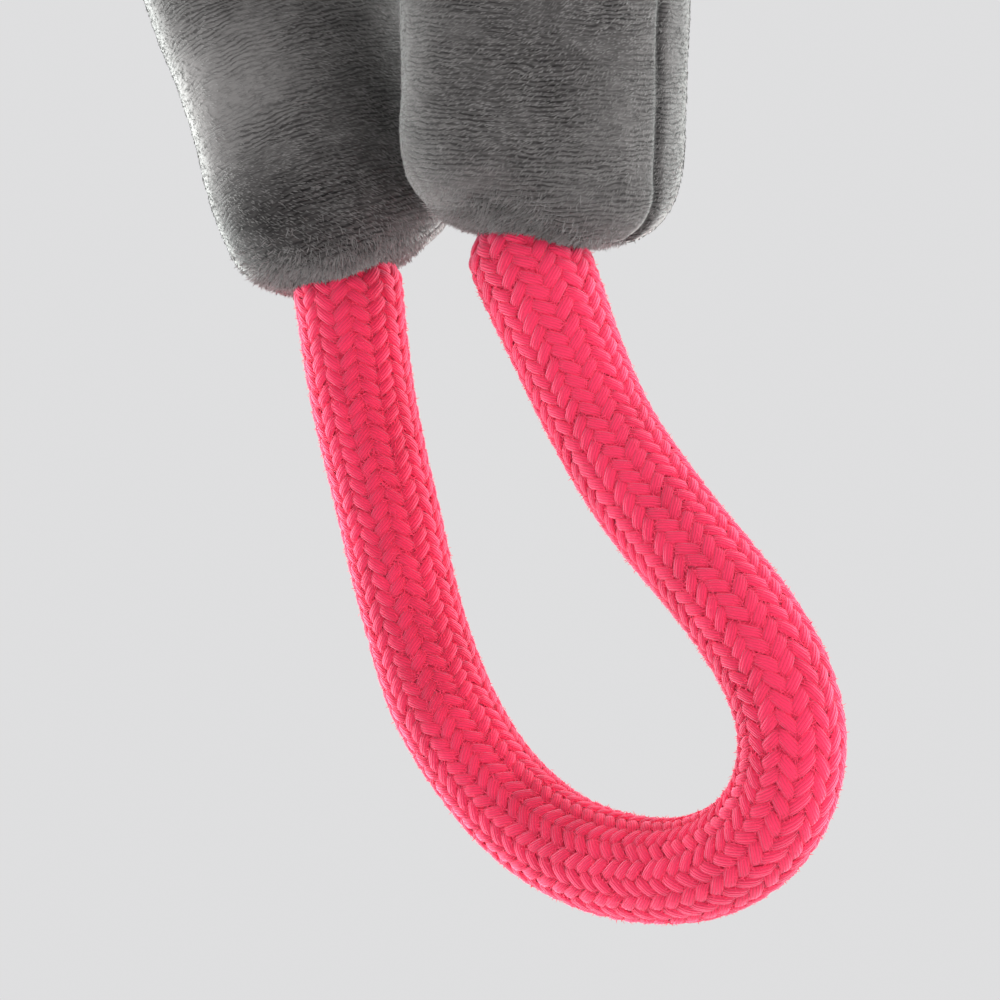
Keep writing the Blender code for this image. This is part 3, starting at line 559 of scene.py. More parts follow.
def fibres(name, skin, finish, seed, per_mm2=2.6, length=0.0008, axis=DOWN, sweep=0.25, tip_fall=0.0,
           sign=1, width=FIBRE_WIDTH, ring=None, bare=()):
    """Short leaning fibres all over a skin, across the axis and swept a little along it. A ring, given by a
    place, a way, a radius and a band, keeps them to a tuft round it, and they stand up there. None grow in
    the bare places."""
    mesh = skin.data
    mesh.calc_loop_triangles()
    corners = np.empty(len(mesh.loop_triangles) * 3, np.int32)
    mesh.loop_triangles.foreach_get("vertices", corners)
    corners = corners.reshape(-1, 3)
    places = vertex_values(mesh.vertices, "co", 3)
    outward = vertex_values(mesh.vertex_normals, "vector", 3)
    a, b, c = (places[corners[:, n]] for n in range(3))
    area = np.linalg.norm(np.cross(b - a, c - a), axis=1) / 2
    if ring:
        place, out_way, radius, band = ring
        apart = (a + b + c) / 3 - place
        level = apart @ out_way
        from_ring = np.linalg.norm(apart - level[:, None] * out_way, axis=1) - radius
        area = area * np.exp(-(from_ring / band) ** 2) * (np.abs(level) < radius)
    total = np.cumsum(area)
    rng = np.random.default_rng(seed)
    count = int(total[-1] * 1e6 * per_mm2)
    picked = corners[np.searchsorted(total, rng.random(count) * total[-1])]
    share = rng.dirichlet((1, 1, 1), count)
    roots = (places[picked] * share[:, :, None]).sum(axis=1)
    normal = unit((outward[picked] * share[:, :, None]).sum(axis=1))
    facts = (vertex_values(mesh.attributes[fact].data, "value", 1)[:, 0]
             for fact in ("ridge", "pale", "groove"))
    high, pale, in_seam = ((values[picked] * share).sum(axis=1) for values in facts)
    kept = in_seam < rng.uniform(0.45, 1.2, count)
    for place, clear in bare:
        kept &= np.linalg.norm(roots - place, axis=1) > clear
    roots, normal, high, pale = roots[kept], normal[kept], high[kept], pale[kept]
    count = len(roots)
    side = unit(np.cross(axis, normal) + SIDE_NUDGE * (normal + 1))
    ahead = np.cross(normal, side)
    swing = sweep + cell_noise(roots, *BROAD_SWIRL, seed + 3) + cell_noise(roots, *FINE_SWIRL, seed + 4)
    swing += rng.normal(0, SWING_SPREAD, count)
    lay = sign * side * np.cos(swing)[:, None] + ahead * np.sin(swing)[:, None]
    lay = unit(lay + axis * tip_fall * np.clip(normal @ axis + 0.25, 0, 1)[:, None])
    lay = unit(lay - normal * (lay * normal).sum(axis=1, keepdims=True))
    uneven = 3 if ring else 1
    lean = (TUFT_LEAN if ring else FIBRE_LEAN) + rng.normal(0, LEAN_SPREAD, count) * uneven
    lean = lean + RIDGE_LEAN * (high - 0.5)
    reach = length * (1 + rng.uniform(-LENGTH_SPREAD, LENGTH_SPREAD, count) * uneven) * (0.8 + 0.3 * high)
    # The fibres' tone carries the skin's painted shade in its furrows and its patches of painted light and
    # shade.
    tone = np.clip(high + 2 * pale + rng.normal(0, 0.10, count), 0, 1.6)
    return tapered_hairs(name, roots, normal, lay, lean, reach, width, finish, tone, seed)


def pile_finish(name, colours, sheen, tint):
    """Brushed pile: darker in its wavy furrows and seams and paler on the ridges, as painted shade, with a
    sheen bloom seen from the side.
    """
    pile = Finish(name, {"Roughness": 0.9, "Specular IOR Level": 0.1, "Sheen Weight": sheen,
                         "Sheen Roughness": 0.32, "Sheen Tint": (*tint, 1)})
    pale = pile.fact("pale")
    lie = pile.fact("lie", "Vector")
    high = pile.add("SeparateXYZ", {"Vector": lie}, "Z")
    across = pile.add("Mapping", {"Vector": lie, "Scale": (170, 170, 300)})
    phase = pile.maths("MULTIPLY", high, 2 * math.pi / CREASE_APART)
    phase = pile.mixed(phase, (pile.noise(1, 3, across, roughness=0.55), CREASE_WAVES))
    wave = pile.add("MapRange", {"Value": pile.maths("SINE", phase), "From Min": -1, "From Max": 0.35},
                    interpolation_type="SMOOTHSTEP")
    clear = pile.add("MapRange", {"Value": pile.noise(0.45, 2, across), "From Min": 0.38, "From Max": 0.60,
                                  "To Min": 0.15})
    wave = pile.maths("MULTIPLY_ADD", pile.maths("SUBTRACT", wave, 1), clear, 1)
    streaks = pile.add("Mapping", {"Vector": lie, "Scale": (800, 800, 4600)})
    hair = pile.noise(1, 2, streaks, distortion=0.5)
    # Painted shade: the share drops in the creases, the furrows and the seams. pale raises or lowers it as
    # painted light and shade.
    share = pile.mixed(pale, (wave, 0.24), (hair, 0.50), (pile.noise(36, 3), 0.50),
                       (pile.fact("ridge"), 0.12), (pile.fact("groove"), -0.45))
    # Painted light: the colour is scaled up by the painted light patches, and down where they are painted
    # shade.
    painted_light_scale = pile.mixed(1, (pale, 1.3))
    colour = pile.add("VectorMath", {0: pile.ramp(share, *colours), "Scale": painted_light_scale}, operation="SCALE")
    return pile.wear(colour, pile.mixed(wave, (hair, 0.5)), 0.7, 0.00012)


# The grey pile's skin and fibres carry painted shade in their furrows and seams. The fibres are also darker
# at their roots and paler at their tips, as painted shade and light.
grey_skin = pile_finish("grey_pile_skin", GREY_PILE, 0.9, COOL_TINT)
grey_pile = fuzz_finish("grey_pile_fuzz", (0.07, 0.066, 0.065), (0.26, 0.25, 0.245), 0.6, COOL_TINT)
# A paler copy of the pile's fibres for the sole fringe: painted light, for the light that reaches up under
# the soles.
lit_grey_pile = fuzz_finish("grey_pile_painted_lit", (0.10, 0.095, 0.092), (0.30, 0.29, 0.285), 0.6, COOL_TINT)


# The two legs are sewn on at the hips, each from a front and a back panel round its filling. They end in
# boxy soles round the rope. The near one covers part of the other, as each leans inwards.
HEAD_HEIGHT = 0.100
NECK_SINK = 0.013
TORSO_TOP = NECK_SINK - HEAD_HEIGHT
TORSO_LENGTH = 0.145
HIP_Z = TORSO_TOP - TORSO_LENGTH - 0.008
HIP_RADIUS = 0.027
LEG_LENGTH = 0.102
LEG_LEAN = math.radians(12.5)
LEG_SETBACK = 0.005
FOOT_SPACING = 0.0415
FOOT_SIZE = (0.046, 0.058)
FOOT_CORNERS = (0.011, 0.020)
FOOT_DOME = 0.0014
LEG_BARREL_SHARES = [(0.22, 0.34), (0.45, 0.70), (0.64, 1)]
LEG_SEAMS = {"left": (math.radians(8), math.radians(150)), "right": (math.radians(30), math.radians(172))}
SIDES = {"left": 1, "right": -1}


def round_end(centre, way, across, through, radius, turns):
    """Rows of a ball's end round its centre, at the given turns in degrees from its pole."""
    rows = []
    for turn in np.radians(turns):
        girth = radius * math.sin(turn)
        rows.append((centre - way * radius * math.cos(turn), across * girth, through * girth))
    return rows


def limb_rows(root, way, across, root_radius, end_size, corners, length, dome, barrel):
    """A round root, a barrel that changes to the end's size, and a boxy end with round corners."""
    rows = round_end(root, way, across, THROUGH, root_radius, range(0, 91, 15))
    for share, blend in barrel:
        wide, deep = (root_radius + (full / 2 - root_radius) * blend for full in end_size)
        rows.append((root + way * length * share, across * wide, THROUGH * deep))
    for share in (1, 0.75, 0.5, 0.3, 0.15, 0.05):
        from_end = max(corners) * share
        halves = []
        for full, corner in zip(end_size, corners):
            depth = corner - min(from_end, corner)
            halves.append(full / 2 - corner + math.sqrt(corner ** 2 - depth ** 2))
        rows.append((root + way * (length - from_end), across * halves[0], THROUGH * halves[1]))
    for share in (0.5, 0):
        rows.append((root + way * (length + dome * (1 - share)), across * halves[0] * share,
                     THROUGH * halves[1] * share))
    return rows


LEG_GIRTH_SHARES = {"left": 1.02, "right": 0.945}
LEG_SHIFTS = {"left": (0.0003, 0.0002), "right": (0.0014, 0.0011)}
SOLE_TILTS = {"left": (-0.07, -0.06), "right": (-0.038, 0.107)}
EXIT_BELOW_FOOT = 0.0020
ROPE_EXIT_X = 0.0210
FRINGE_BAND = 0.0034
SOLE_LIPS = {"left": [(0.0305, -0.0180, 0.0068, -0.0060)],
             "right": [(-0.0107, -0.0173, 0.0095, 0.0036), (-0.0365, -0.0073, 0.0100, -0.0022),
                       (-0.0050, 0.0173, 0.0095, -0.0022)]}
# Patches of painted light on the legs' pile, and of painted shade where the amount is negative: for each,
# its share down the leg, its turn round it in degrees, its reach and its amount.
LEG_PAINTED_LIGHT_PATCHES = {"left": [(0.72, -128, 0.009, 0.05), (0.80, -86, 0.013, 0.05)],
               "right": [(0.64, -98, 0.015, 0.36), (0.88, -84, 0.009, -0.16), (0.75, 5, 0.017, -0.12)]}


def leg_line(side):
    """The hip's place, the way down the leg, and the way across it."""
    hip = np.array([side * (FOOT_SPACING / 2 + LEG_LENGTH * math.sin(LEG_LEAN)), LEG_SETBACK, HIP_Z])
    return (hip, np.array([-side * math.sin(LEG_LEAN), 0, -math.cos(LEG_LEAN)]),
            np.array([math.cos(LEG_LEAN), 0, -side * math.sin(LEG_LEAN)]))


def rope_leaves(side, hip, way):
    """Where the rope comes out of a leg's sole."""
    return np.array([side * ROPE_EXIT_X, 0, (hip + way * LEG_LENGTH)[2] - EXIT_BELOW_FOOT])


def hang_leg(places, label, hip, way):
    """The leg as it hangs: drawn in or filled out, bowed a little, and with its sole tilted round the rope.
    Its sole's lip hangs a little lower, or is drawn up, in places."""
    share = np.clip((places - hip) @ way / LEG_LENGTH, 0, 1)[:, None]
    middle = hip + way * LEG_LENGTH * share
    apart = places - middle
    hung = middle + apart * LEG_GIRTH_SHARES[label]
    hung += np.array([*LEG_SHIFTS[label], 0]) * np.sin(math.pi * share)
    hung -= DOWN * (share ** 2 * (apart[:, :2] @ np.array(SOLE_TILTS[label]))[:, None])
    for *lip, reach, drop in SOLE_LIPS[label]:
        lower = drop * np.exp(-((places[:, :2] - lip) ** 2).sum(axis=1) / reach ** 2)
        hung += DOWN * share ** 8 * lower[:, None]
    return hung


for label, side in SIDES.items():
    hip, way, across = leg_line(side)
    rows = limb_rows(hip, way, across, HIP_RADIUS, FOOT_SIZE, FOOT_CORNERS, LEG_LENGTH, FOOT_DOME,
                     LEG_BARREL_SHARES)
    # The painted light patches, placed on the leg's surface.
    painted_light_patches = []
    for share, turn, reach, amount in LEG_PAINTED_LIGHT_PATCHES[label]:
        out = across * math.cos(math.radians(turn)) + THROUGH * math.sin(math.radians(turn))
        painted_light_patches.append((hip + way * LEG_LENGTH * share + out * FOOT_SIZE[0] / 2, reach, amount))
    leg = stuffed(f"{label}_leg_skin", rows, grey_skin, 100 + side, seams=LEG_SEAMS[label], axis=way,
                  settle=lambda places: hang_leg(places, label, hip, way), painted_light_patches=painted_light_patches)
    leg_pile = fibres(f"{label}_leg_pile", leg, grey_pile, 200 + side, axis=way, tip_fall=1.2, sign=side)
    sole_ring = (rope_leaves(side, hip, way), way, ROPE_DIAMETER * 0.60, FRINGE_BAND)
    # The sole fringe wears the paler fibres, as painted light.
    fringe = fibres(f"{label}_sole_fringe", leg, lit_grey_pile, 300 + side, per_mm2=16, length=0.0014,
                    axis=THROUGH, width=FIBRE_WIDTH * 1.2, ring=sole_ring)
    for piece in (leg, leg_pile, fringe):
        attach(piece, f"{label}_leg")
    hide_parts(f"{label}_leg_cover")


# The torso is one stuffed bag of the same pile, sewn round the neck, shoulders and hips. Its side seams run
# down both flanks.
TORSO_HALVES = (0.066, 0.042)
NECK_RADIUS = 0.030
NECK_PIVOT = np.array([0, 0, TORSO_TOP - NECK_RADIUS])
TORSO_SHARES = [(0.225, 0.58, 0.78), (0.275, 0.71, 0.87), (0.355, 0.81, 0.93), (0.48, 0.88, 0.97),
                (0.63, 0.95, 1.0), (0.75, 0.99, 1.0), (0.835, 1.0, 0.97), (0.905, 0.92, 0.89),
                (0.955, 0.74, 0.72), (0.983, 0.50, 0.49), (0.996, 0.26, 0.25), (1, 0, 0)]
SIDE_SEAMS = (0, math.pi)

rows = round_end(NECK_PIVOT, DOWN, ACROSS, THROUGH, NECK_RADIUS, range(0, 71, 14))
for drop, wide, deep in TORSO_SHARES:
    rows.append((np.array([0, 0, TORSO_TOP - TORSO_LENGTH * drop]), ACROSS * TORSO_HALVES[0] * wide,
                 THROUGH * TORSO_HALVES[1] * deep))
torso = stuffed("torso_skin", rows, grey_skin, 110, size=(160, 240), square=2.1, lumps=0.0012,
                seams=SIDE_SEAMS)
torso_pile = fibres("torso_pile", torso, grey_pile, 210, per_mm2=0.85, width=0.0002, length=0.0011,
                    tip_fall=0.6)
for piece in (torso, torso_pile):
    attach(piece, "torso")
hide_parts("torso_cover")


# The arms are stuffed tubes of pile with a seam down each side. They are sewn on at the shoulders and end in
# boxy paws like the feet.
SHOULDER = (0.0695, 0, TORSO_TOP - 0.046)
SHOULDER_RADIUS = 0.018
SHOULDER_INWARD = 0.011
SEWN_SHARE = 0.40
ARM_LENGTH = 0.088
ARM_SPLAY = math.radians(30)
PAW_SIZE = (0.042, 0.048)
PAW_CORNERS = (0.012, 0.018)
PAW_DOME = 0.0014
ARM_BARREL_SHARES = [(0.24, -0.25), (0.46, 0.35), (0.64, 1)]


def arm_line(side):
    """The shoulder's place, the way down the arm, and the way across it."""
    return (np.array([side * SHOULDER[0], *SHOULDER[1:]]),
            np.array([side * math.sin(ARM_SPLAY), 0, -math.cos(ARM_SPLAY)]),
            np.array([math.cos(ARM_SPLAY), 0, side * math.sin(ARM_SPLAY)]))


def sewn_in(places, shoulder, way, side):
    """An arm's root drawn in along its own hinge line, into the seam at the torso's side."""
    share = np.clip((places - shoulder) @ way / (ARM_LENGTH * SEWN_SHARE), 0, 1)
    drawn = SHOULDER_INWARD * (1 - share * share * (3 - 2 * share))
    return places - np.outer(drawn * side, ACROSS)


for label, side in SIDES.items():
    shoulder, way, across = arm_line(side)
    rows = limb_rows(shoulder, way, across, SHOULDER_RADIUS, PAW_SIZE, PAW_CORNERS, ARM_LENGTH, PAW_DOME,
                     ARM_BARREL_SHARES)
    arm = stuffed(f"{label}_arm_skin", rows, grey_skin, 120 + side, size=(100, 170), seams=SIDE_SEAMS,
                  axis=way, settle=lambda places: sewn_in(places, shoulder, way, side))
    arm_pile = fibres(f"{label}_arm_pile", arm, grey_pile, 220 + side, per_mm2=1.6, axis=way, tip_fall=1.2,
                      sign=side)
    for piece in (arm, arm_pile):
        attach(piece, f"{label}_arm")
    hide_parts(f"{label}_arm_cover")


# The head is a wide soft ball of pile with a seam up its front and back. A stuffed muzzle is sewn on its
# front, and the pile is shaved off under the stitched eyes and nose.
HEAD_HALVES = (0.063, 0.054)
HEAD_SHARES = [(0, 0, 0), (0.02, 0.28, 0.28), (0.08, 0.55, 0.55), (0.18, 0.78, 0.79),
               (0.32, 0.93, 0.94), (0.48, 0.99, 1.0), (0.63, 1.0, 0.98), (0.77, 0.93, 0.90),
               (0.89, 0.75, 0.72), (0.965, 0.48, 0.46), (0.992, 0.25, 0.24), (1, 0, 0)]
MUZZLE_HALVES = (0.031, 0.028, 0.0215)
MUZZLE_DROP = 0.063
NOSE_HALVES = (0.0105, 0.0065)
NOSE_RISE = 0.009
EYE_RADIUS = 0.0062
EYE_SPACING = 0.048
EYE_DROP = 0.040

rows = [(DOWN * HEAD_HEIGHT * drop, ACROSS * HEAD_HALVES[0] * wide, THROUGH * HEAD_HALVES[1] * deep)
        for drop, wide, deep in HEAD_SHARES]
head = stuffed("head_skin", rows, grey_skin, 130, size=(160, 160), square=2.05, lumps=0.0009,
               seams=(-math.pi / 2, math.pi / 2))
muzzle_centre = np.array([0, -HEAD_HALVES[1], -MUZZLE_DROP])
rows = []
for turn in np.radians(range(0, 181, 15)):
    rows.append((muzzle_centre - DOWN * MUZZLE_HALVES[2] * math.cos(turn),
                 ACROSS * MUZZLE_HALVES[0] * math.sin(turn), THROUGH * MUZZLE_HALVES[1] * math.sin(turn)))
muzzle = stuffed("muzzle_skin", rows, grey_skin, 131, size=(90, 70), square=2.1, lumps=0.0005)
eye_places = [(side * EYE_SPACING / 2, -HEAD_HALVES[1] * 0.86, -EYE_DROP) for side in (1, -1)]
nose_place = (0, -HEAD_HALVES[1] - MUZZLE_HALVES[1] * 0.93, NOSE_RISE - MUZZLE_DROP)
head_pile = fibres("head_pile", head, grey_pile, 230, per_mm2=1.0, width=0.00018, length=0.0010,
                   bare=[(place, EYE_RADIUS * 1.5) for place in eye_places])
muzzle_pile = fibres("muzzle_pile", muzzle, grey_pile, 231, per_mm2=1.7,
                     bare=[(nose_place, NOSE_HALVES[0])])
for piece in (head, head_pile, muzzle, muzzle_pile):
    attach(piece, "head")
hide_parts("head_cover")
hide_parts("muzzle_cover")


# Each ear is a leaf of pile fabric with a pink lining, two cut panels sewn edge to edge. It hangs from the
# side of the head, where it is sewn on, and curls in round it.
EAR_LENGTH = 0.072
EAR_WIDTH = 0.050
EAR_PILE = 0.0036
EAR_LINING = 0.0022
EAR_DROP = 0.022
EAR_STANDOFF = -0.0005
EAR_TURN = math.radians(26)
EAR_FLARE = math.radians(7)
EAR_CURL = 0.0050
LINED_EAR_SHARE = 0.86
SEAT_GAP = 0.0003
EAR_SHARES = [(0, 0, 0), (0.03, 0.36, 0.75), (0.12, 0.60, 1.0), (0.34, 0.84, 1.0), (0.60, 1.0, 0.95),
              (0.80, 0.88, 0.85), (0.93, 0.58, 0.65), (0.985, 0.28, 0.35), (1, 0, 0)]
PINK_PILE = [(0.10, (0.20, 0.030, 0.045)), (0.45, (0.50, 0.085, 0.14)), (0.95, (0.74, 0.22, 0.28))]
pink_skin = pile_finish("pink_lining_pile", PINK_PILE, 0.5, (1, 0.8, 0.85))


def head_reach(drop, side):
    """Where an ear lies on the head's side at a drop below the crown, no further in below its widest."""
    wide = deep = 0
    for (high, start_wide, start_deep), (low, end_wide, end_deep) in zip(HEAD_SHARES, HEAD_SHARES[1:]):
        share = (min(max(drop / HEAD_HEIGHT, high), low) - high) / (low - high)
        wide = max(wide, start_wide + (end_wide - start_wide) * share)
        deep = max(deep, start_deep + (end_deep - start_deep) * share)
        if drop <= low * HEAD_HEIGHT:
            break
    return np.array([side * wide * HEAD_HALVES[0] * math.cos(EAR_TURN),
                     -deep * HEAD_HALVES[1] * math.sin(EAR_TURN), -drop])


def ear_rows(side, standoff, thickness, width, seam_face):
    """The ear's centre and half axes down its length. Its thin edges lie where its layers are sewn."""
    facing = unit(np.array([side * math.cos(EAR_TURN) / HEAD_HALVES[0],
                            -math.sin(EAR_TURN) / HEAD_HALVES[1], 0]))
    rows = []
    for down, wide, thick in EAR_SHARES:
        hanging = EAR_LENGTH * down
        out = standoff + thickness / 2 * (1 + seam_face * (1 - thick)) + hanging * math.tan(EAR_FLARE)
        centre = head_reach(EAR_DROP + hanging, side) + facing * out
        rows.append((centre, facing * thickness / 2 * thick, np.cross(facing, DOWN) * width / 2 * wide))
    return rows, facing


for label, side in SIDES.items():
    rows, facing = ear_rows(side, EAR_STANDOFF, EAR_LINING, EAR_WIDTH * LINED_EAR_SHARE, 1)
    lining = stuffed(f"{label}_ear_lining_skin", rows, pink_skin, 140 + side, size=(48, 70), lumps=0.0002,
                     bend=facing * (EAR_LINING / 2 - EAR_CURL * LINED_EAR_SHARE ** 2), sunk=0.0003)
    rows, facing = ear_rows(side, EAR_STANDOFF + EAR_LINING + SEAT_GAP, EAR_PILE, EAR_WIDTH, -1)
    ear = stuffed(f"{label}_ear_skin", rows, grey_skin, 144 + side, size=(64, 90), lumps=0.0003,
                  bend=facing * -(EAR_CURL + EAR_PILE / 2))
    ear_pile = fibres(f"{label}_ear_pile", ear, grey_pile, 240 + side, per_mm2=1.6, sweep=0.9, sign=side)
    for piece, slot in ((lining, "ear_lining"), (ear, "grey_pile"), (ear_pile, "grey_pile")):
        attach(piece, f"{label}_ear")
    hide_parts(f"{label}_ear_lining")
    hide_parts(f"{label}_ear_outer")


# A short stuffed tail of the same pile droops behind the seat, where it is sewn on.
TAIL_RADIUS = 0.010
TAIL_TIP_RADIUS = 0.0075
TAIL_LENGTH = 0.040
TAIL_ROOT = np.array([0, 0.0489, -0.202])
TAIL_DROOP = math.radians(62)

way = np.array([0, math.sin(TAIL_DROOP), -math.cos(TAIL_DROOP)])
through = np.array([0, math.cos(TAIL_DROOP), math.sin(TAIL_DROOP)])
tail_tip = TAIL_ROOT + way * TAIL_LENGTH
rows = round_end(TAIL_ROOT, way, ACROSS, through, TAIL_RADIUS, range(0, 91, 30))
rows += round_end(tail_tip, way, ACROSS, through, TAIL_TIP_RADIUS, range(90, 181, 30))
tail = stuffed("tail_skin", rows, grey_skin, 150, size=(48, 70), lumps=0.0004, axis=way)
tail_pile = fibres("tail_pile", tail, grey_pile, 250, per_mm2=1.8, axis=way, sweep=1.0)
for piece in (tail, tail_pile):
    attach(piece, "tail")
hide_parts("tail")


# The nose and eyes are satin stitch: rows of glossy thread laid side by side over a small pad. The mouth is
# a line of slanted stitches through the muzzle's cover.
THREAD_WIDTH = 0.00052
THREAD_OVERLAP = 0.62
THREAD_STEPS = 12
STITCH_PAD = 0.0021
STITCH_UNEVEN = 0.025
STITCH_SLANT = 0.03
LINE_SPACING = 2.6
LINE_STITCH_LENGTH = 2.1
LINE_SLANT = 0.35
MOUTH_DROP = 0.0085
MOUTH_HALF = 0.0085
MOUTH_SAG = 0.0035
MOUTH_TURN_UP = 1.15
MOUTH_THREAD = 0.00055
MOUTH_PROUD = 1.3
CHARCOAL = (0.007, 0.0065, 0.008)


def thread_finish(name, colour):
    """Embroidery thread with a soft gloss and a fine twist along it."""
    thread = Finish(name, {"Roughness": 0.5, "Specular IOR Level": 0.22})
    twist = thread.noise(3200, 2)
    share = thread.mixed(thread.fact("tone"), (twist, 0.6))
    colours = thread.ramp(share, (0, shaded(colour, 0.6)), (1, shaded(colour, 1.7)))
    return thread.wear(colours, twist, 0.4, 0.0001)


def on_surface(skin, x, z):
    """The point of a skin's front at that place across and up, and the way it faces."""
    _, place, normal, _ = skin.ray_cast(Vector((x, -0.3, z)), Vector((0, 1, 0)))
    return np.array(place), np.array(normal)


def satin(name, skin, centre, halves, outline, finish, seed):
    """Threads side by side over a raised pad. outline gives the lowest and highest share of each thread."""
    rng = np.random.default_rng(seed)
    count = round(2 * halves[0] / THREAD_WIDTH)
    bm, grid = flat_grid(4, THREAD_STEPS)
    copies = []
    for thread in range(count):
        middle = (thread + 0.5) / count * 2 - 1
        low, high = outline(middle)
        low, high = low + rng.normal(0, STITCH_UNEVEN), high + rng.normal(0, STITCH_UNEVEN)
        slant = rng.normal(0, STITCH_SLANT)
        places = []
        for side, along in grid:
            up = (low + high) / 2 + (high - low) / 2 * along
            across = middle + slant * along + side * THREAD_OVERLAP * (2 / count)
            place, normal = on_surface(skin, centre[0] + halves[0] * across, centre[1] + halves[1] * up)
            pad = STITCH_PAD * math.sqrt(max(1 - min(across ** 2 + up ** 2, 1), 0)) + SKIN_BELOW_PILE
            ridge = math.sqrt(1 - side ** 2) * THREAD_WIDTH * 0.7 - THREAD_WIDTH * 0.2
            sink = abs(along) ** 6 * STITCH_PAD * 0.5
            places.append(place + normal * (pad + ridge - sink))
        copies.append(places)
    copies = np.array(copies)
    tone = np.repeat(rng.uniform(0, 0.5, count)[:, None], len(grid), axis=1)
    return repeat_shape(name, bm, copies, finish, {"tone": tone})


def nose_outline(middle):
    """A rounded triangle, wide at its top."""
    return -math.sqrt(max(1 - abs(middle) ** 1.7, 0)), math.sqrt(max(1 - abs(middle) ** 3.4, 0)) * 0.9


def round_outline(middle):
    reach = math.sqrt(1 - middle ** 2)
    return -reach, reach


def sewn_line(name, line, radius, finish, seed):
    """A line of slanted stitches, each a short twist of thread that overlaps the next."""
    rng = np.random.default_rng(seed)
    route = Route(np.array(line))
    count = round(route.length / (radius * LINE_SPACING))
    bm = bmesh.new()
    bmesh.ops.create_uvsphere(bm, u_segments=8, v_segments=6, radius=1)
    ball = np.array([vertex.co for vertex in bm.verts])
    middles = (np.arange(count) + 0.5) / count * route.length
    centre, way, across = (route.at(middles, values) for values in (route.line, route.way, route.across))
    through = np.cross(way, across)
    slant = LINE_SLANT + rng.normal(0, 0.05, count)[:, None]
    long_way = unit(way + across * slant) * radius * LINE_STITCH_LENGTH
    wide_way = unit(across - way * slant) * radius
    places = (centre[:, None] + ball[:, 2, None] * long_way[:, None] + ball[:, 0, None] * wide_way[:, None]
              + ball[:, 1, None] * through[:, None] * radius)
    tone = np.repeat(rng.uniform(0, 0.5, count)[:, None], len(ball), axis=1)
    return repeat_shape(name, bm, places, finish, {"tone": tone})


charcoal_thread = thread_finish("charcoal_thread", CHARCOAL)
eye_halves = (EYE_RADIUS, EYE_RADIUS)
nose = satin("nose_stitching", muzzle, (0, -MUZZLE_DROP + NOSE_RISE), NOSE_HALVES, nose_outline,
             charcoal_thread, 31)
left_eye = satin("left_eye_stitching", head, (EYE_SPACING / 2, -EYE_DROP), eye_halves, round_outline,
                 charcoal_thread, 32)
right_eye = satin("right_eye_stitching", head, (-EYE_SPACING / 2, -EYE_DROP), eye_halves, round_outline,
                  charcoal_thread, 33)
mouth_line = []
for share in np.linspace(-1, 1, 41):
    sag = MOUTH_SAG * math.sin(math.pi * min(abs(share) * MOUTH_TURN_UP, 1))
    place, normal = on_surface(muzzle, MOUTH_HALF * share, -MUZZLE_DROP + NOSE_RISE - MOUTH_DROP - sag)
    mouth_line.append(place + normal * SKIN_BELOW_PILE * MOUTH_PROUD)
mouth = sewn_line("mouth_stitching", mouth_line, MOUTH_THREAD, charcoal_thread, 34)
for piece in (nose, left_eye, right_eye, mouth):
    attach(piece, "head")
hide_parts("nose")
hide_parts("left_eye")
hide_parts("right_eye")


# Inside the feet each end of the rope, of the same braid, runs up to a round knot that it can't be pulled
# past. A ring of thread closes each sole round it.
ROPE_TAIL = 0.030
KNOT_RADIUS = 0.0145
KNOT_TIP_SHARE = 0.95
KNOT_TIP_RADIUS = 0.002
HOLE_CLEARANCE = 0.0025
STITCH_RISE = 0.0064
STITCH_THREAD = 0.0006
RING_WAVES = 12
RING_WAVE_HEIGHT = 0.0007

for label, side in SIDES.items():
    hip, way, across = leg_line(side)
    leaving = rope_leaves(side, hip, way)
    start = leaving - way * (ROPE_DIAMETER / 2 + SEAT_GAP)
    knot_centre = start - way * (ROPE_TAIL + KNOT_RADIUS / 2)
    knot_tip = knot_centre - way * KNOT_RADIUS * KNOT_TIP_SHARE
    inner_route = Route(smooth_line([start, (start + knot_centre) / 2, knot_tip], 12))
    knot_place = float(np.linalg.norm(knot_centre - start))

    def tail_radius(along, knot_place=knot_place):
        """A straight tail that swells into the round knot at its end."""
        from_knot = np.clip((along - knot_place) / KNOT_RADIUS, -1, 1)
        return np.maximum(np.where(along < knot_place, ROPE_DIAMETER / 2, KNOT_TIP_RADIUS),
                          KNOT_RADIUS * np.sqrt(1 - from_knot ** 2))

    tail_one = braid(f"{label}_tail_bundles_one_way", inner_route, tail_radius, 1, rope_pink, 21)
    tail_two = braid(f"{label}_tail_bundles_other_way", inner_route, tail_radius, -1, rope_pink, 22)
    ring_centre = leaving - way * STITCH_RISE
    ring_radius = ROPE_DIAMETER / 2 + HOLE_CLEARANCE - SEAT_GAP * 2
    ring_line = []
    for turn in np.linspace(0, 2 * math.pi, 73):
        out = across * math.cos(turn) + THROUGH * math.sin(turn)
        wave = way * RING_WAVE_HEIGHT * math.sin(turn * RING_WAVES)
        ring_line.append(ring_centre + out * ring_radius + wave)
    ring_line = hang_leg(np.array(ring_line), label, hip, way)
    sole_thread = sewn_line(f"{label}_sole_thread", ring_line, STITCH_THREAD, charcoal_thread, 35 + side)
    for piece, slot in ((tail_one, "pink_cotton"), (tail_two, "pink_cotton"),
                        (sole_thread, "charcoal_thread")):
        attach(piece, f"{label}_leg")
    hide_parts(f"{label}_rope_tail", f"{label}_rope_knot")
    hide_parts(f"{label}_sole_stitching")


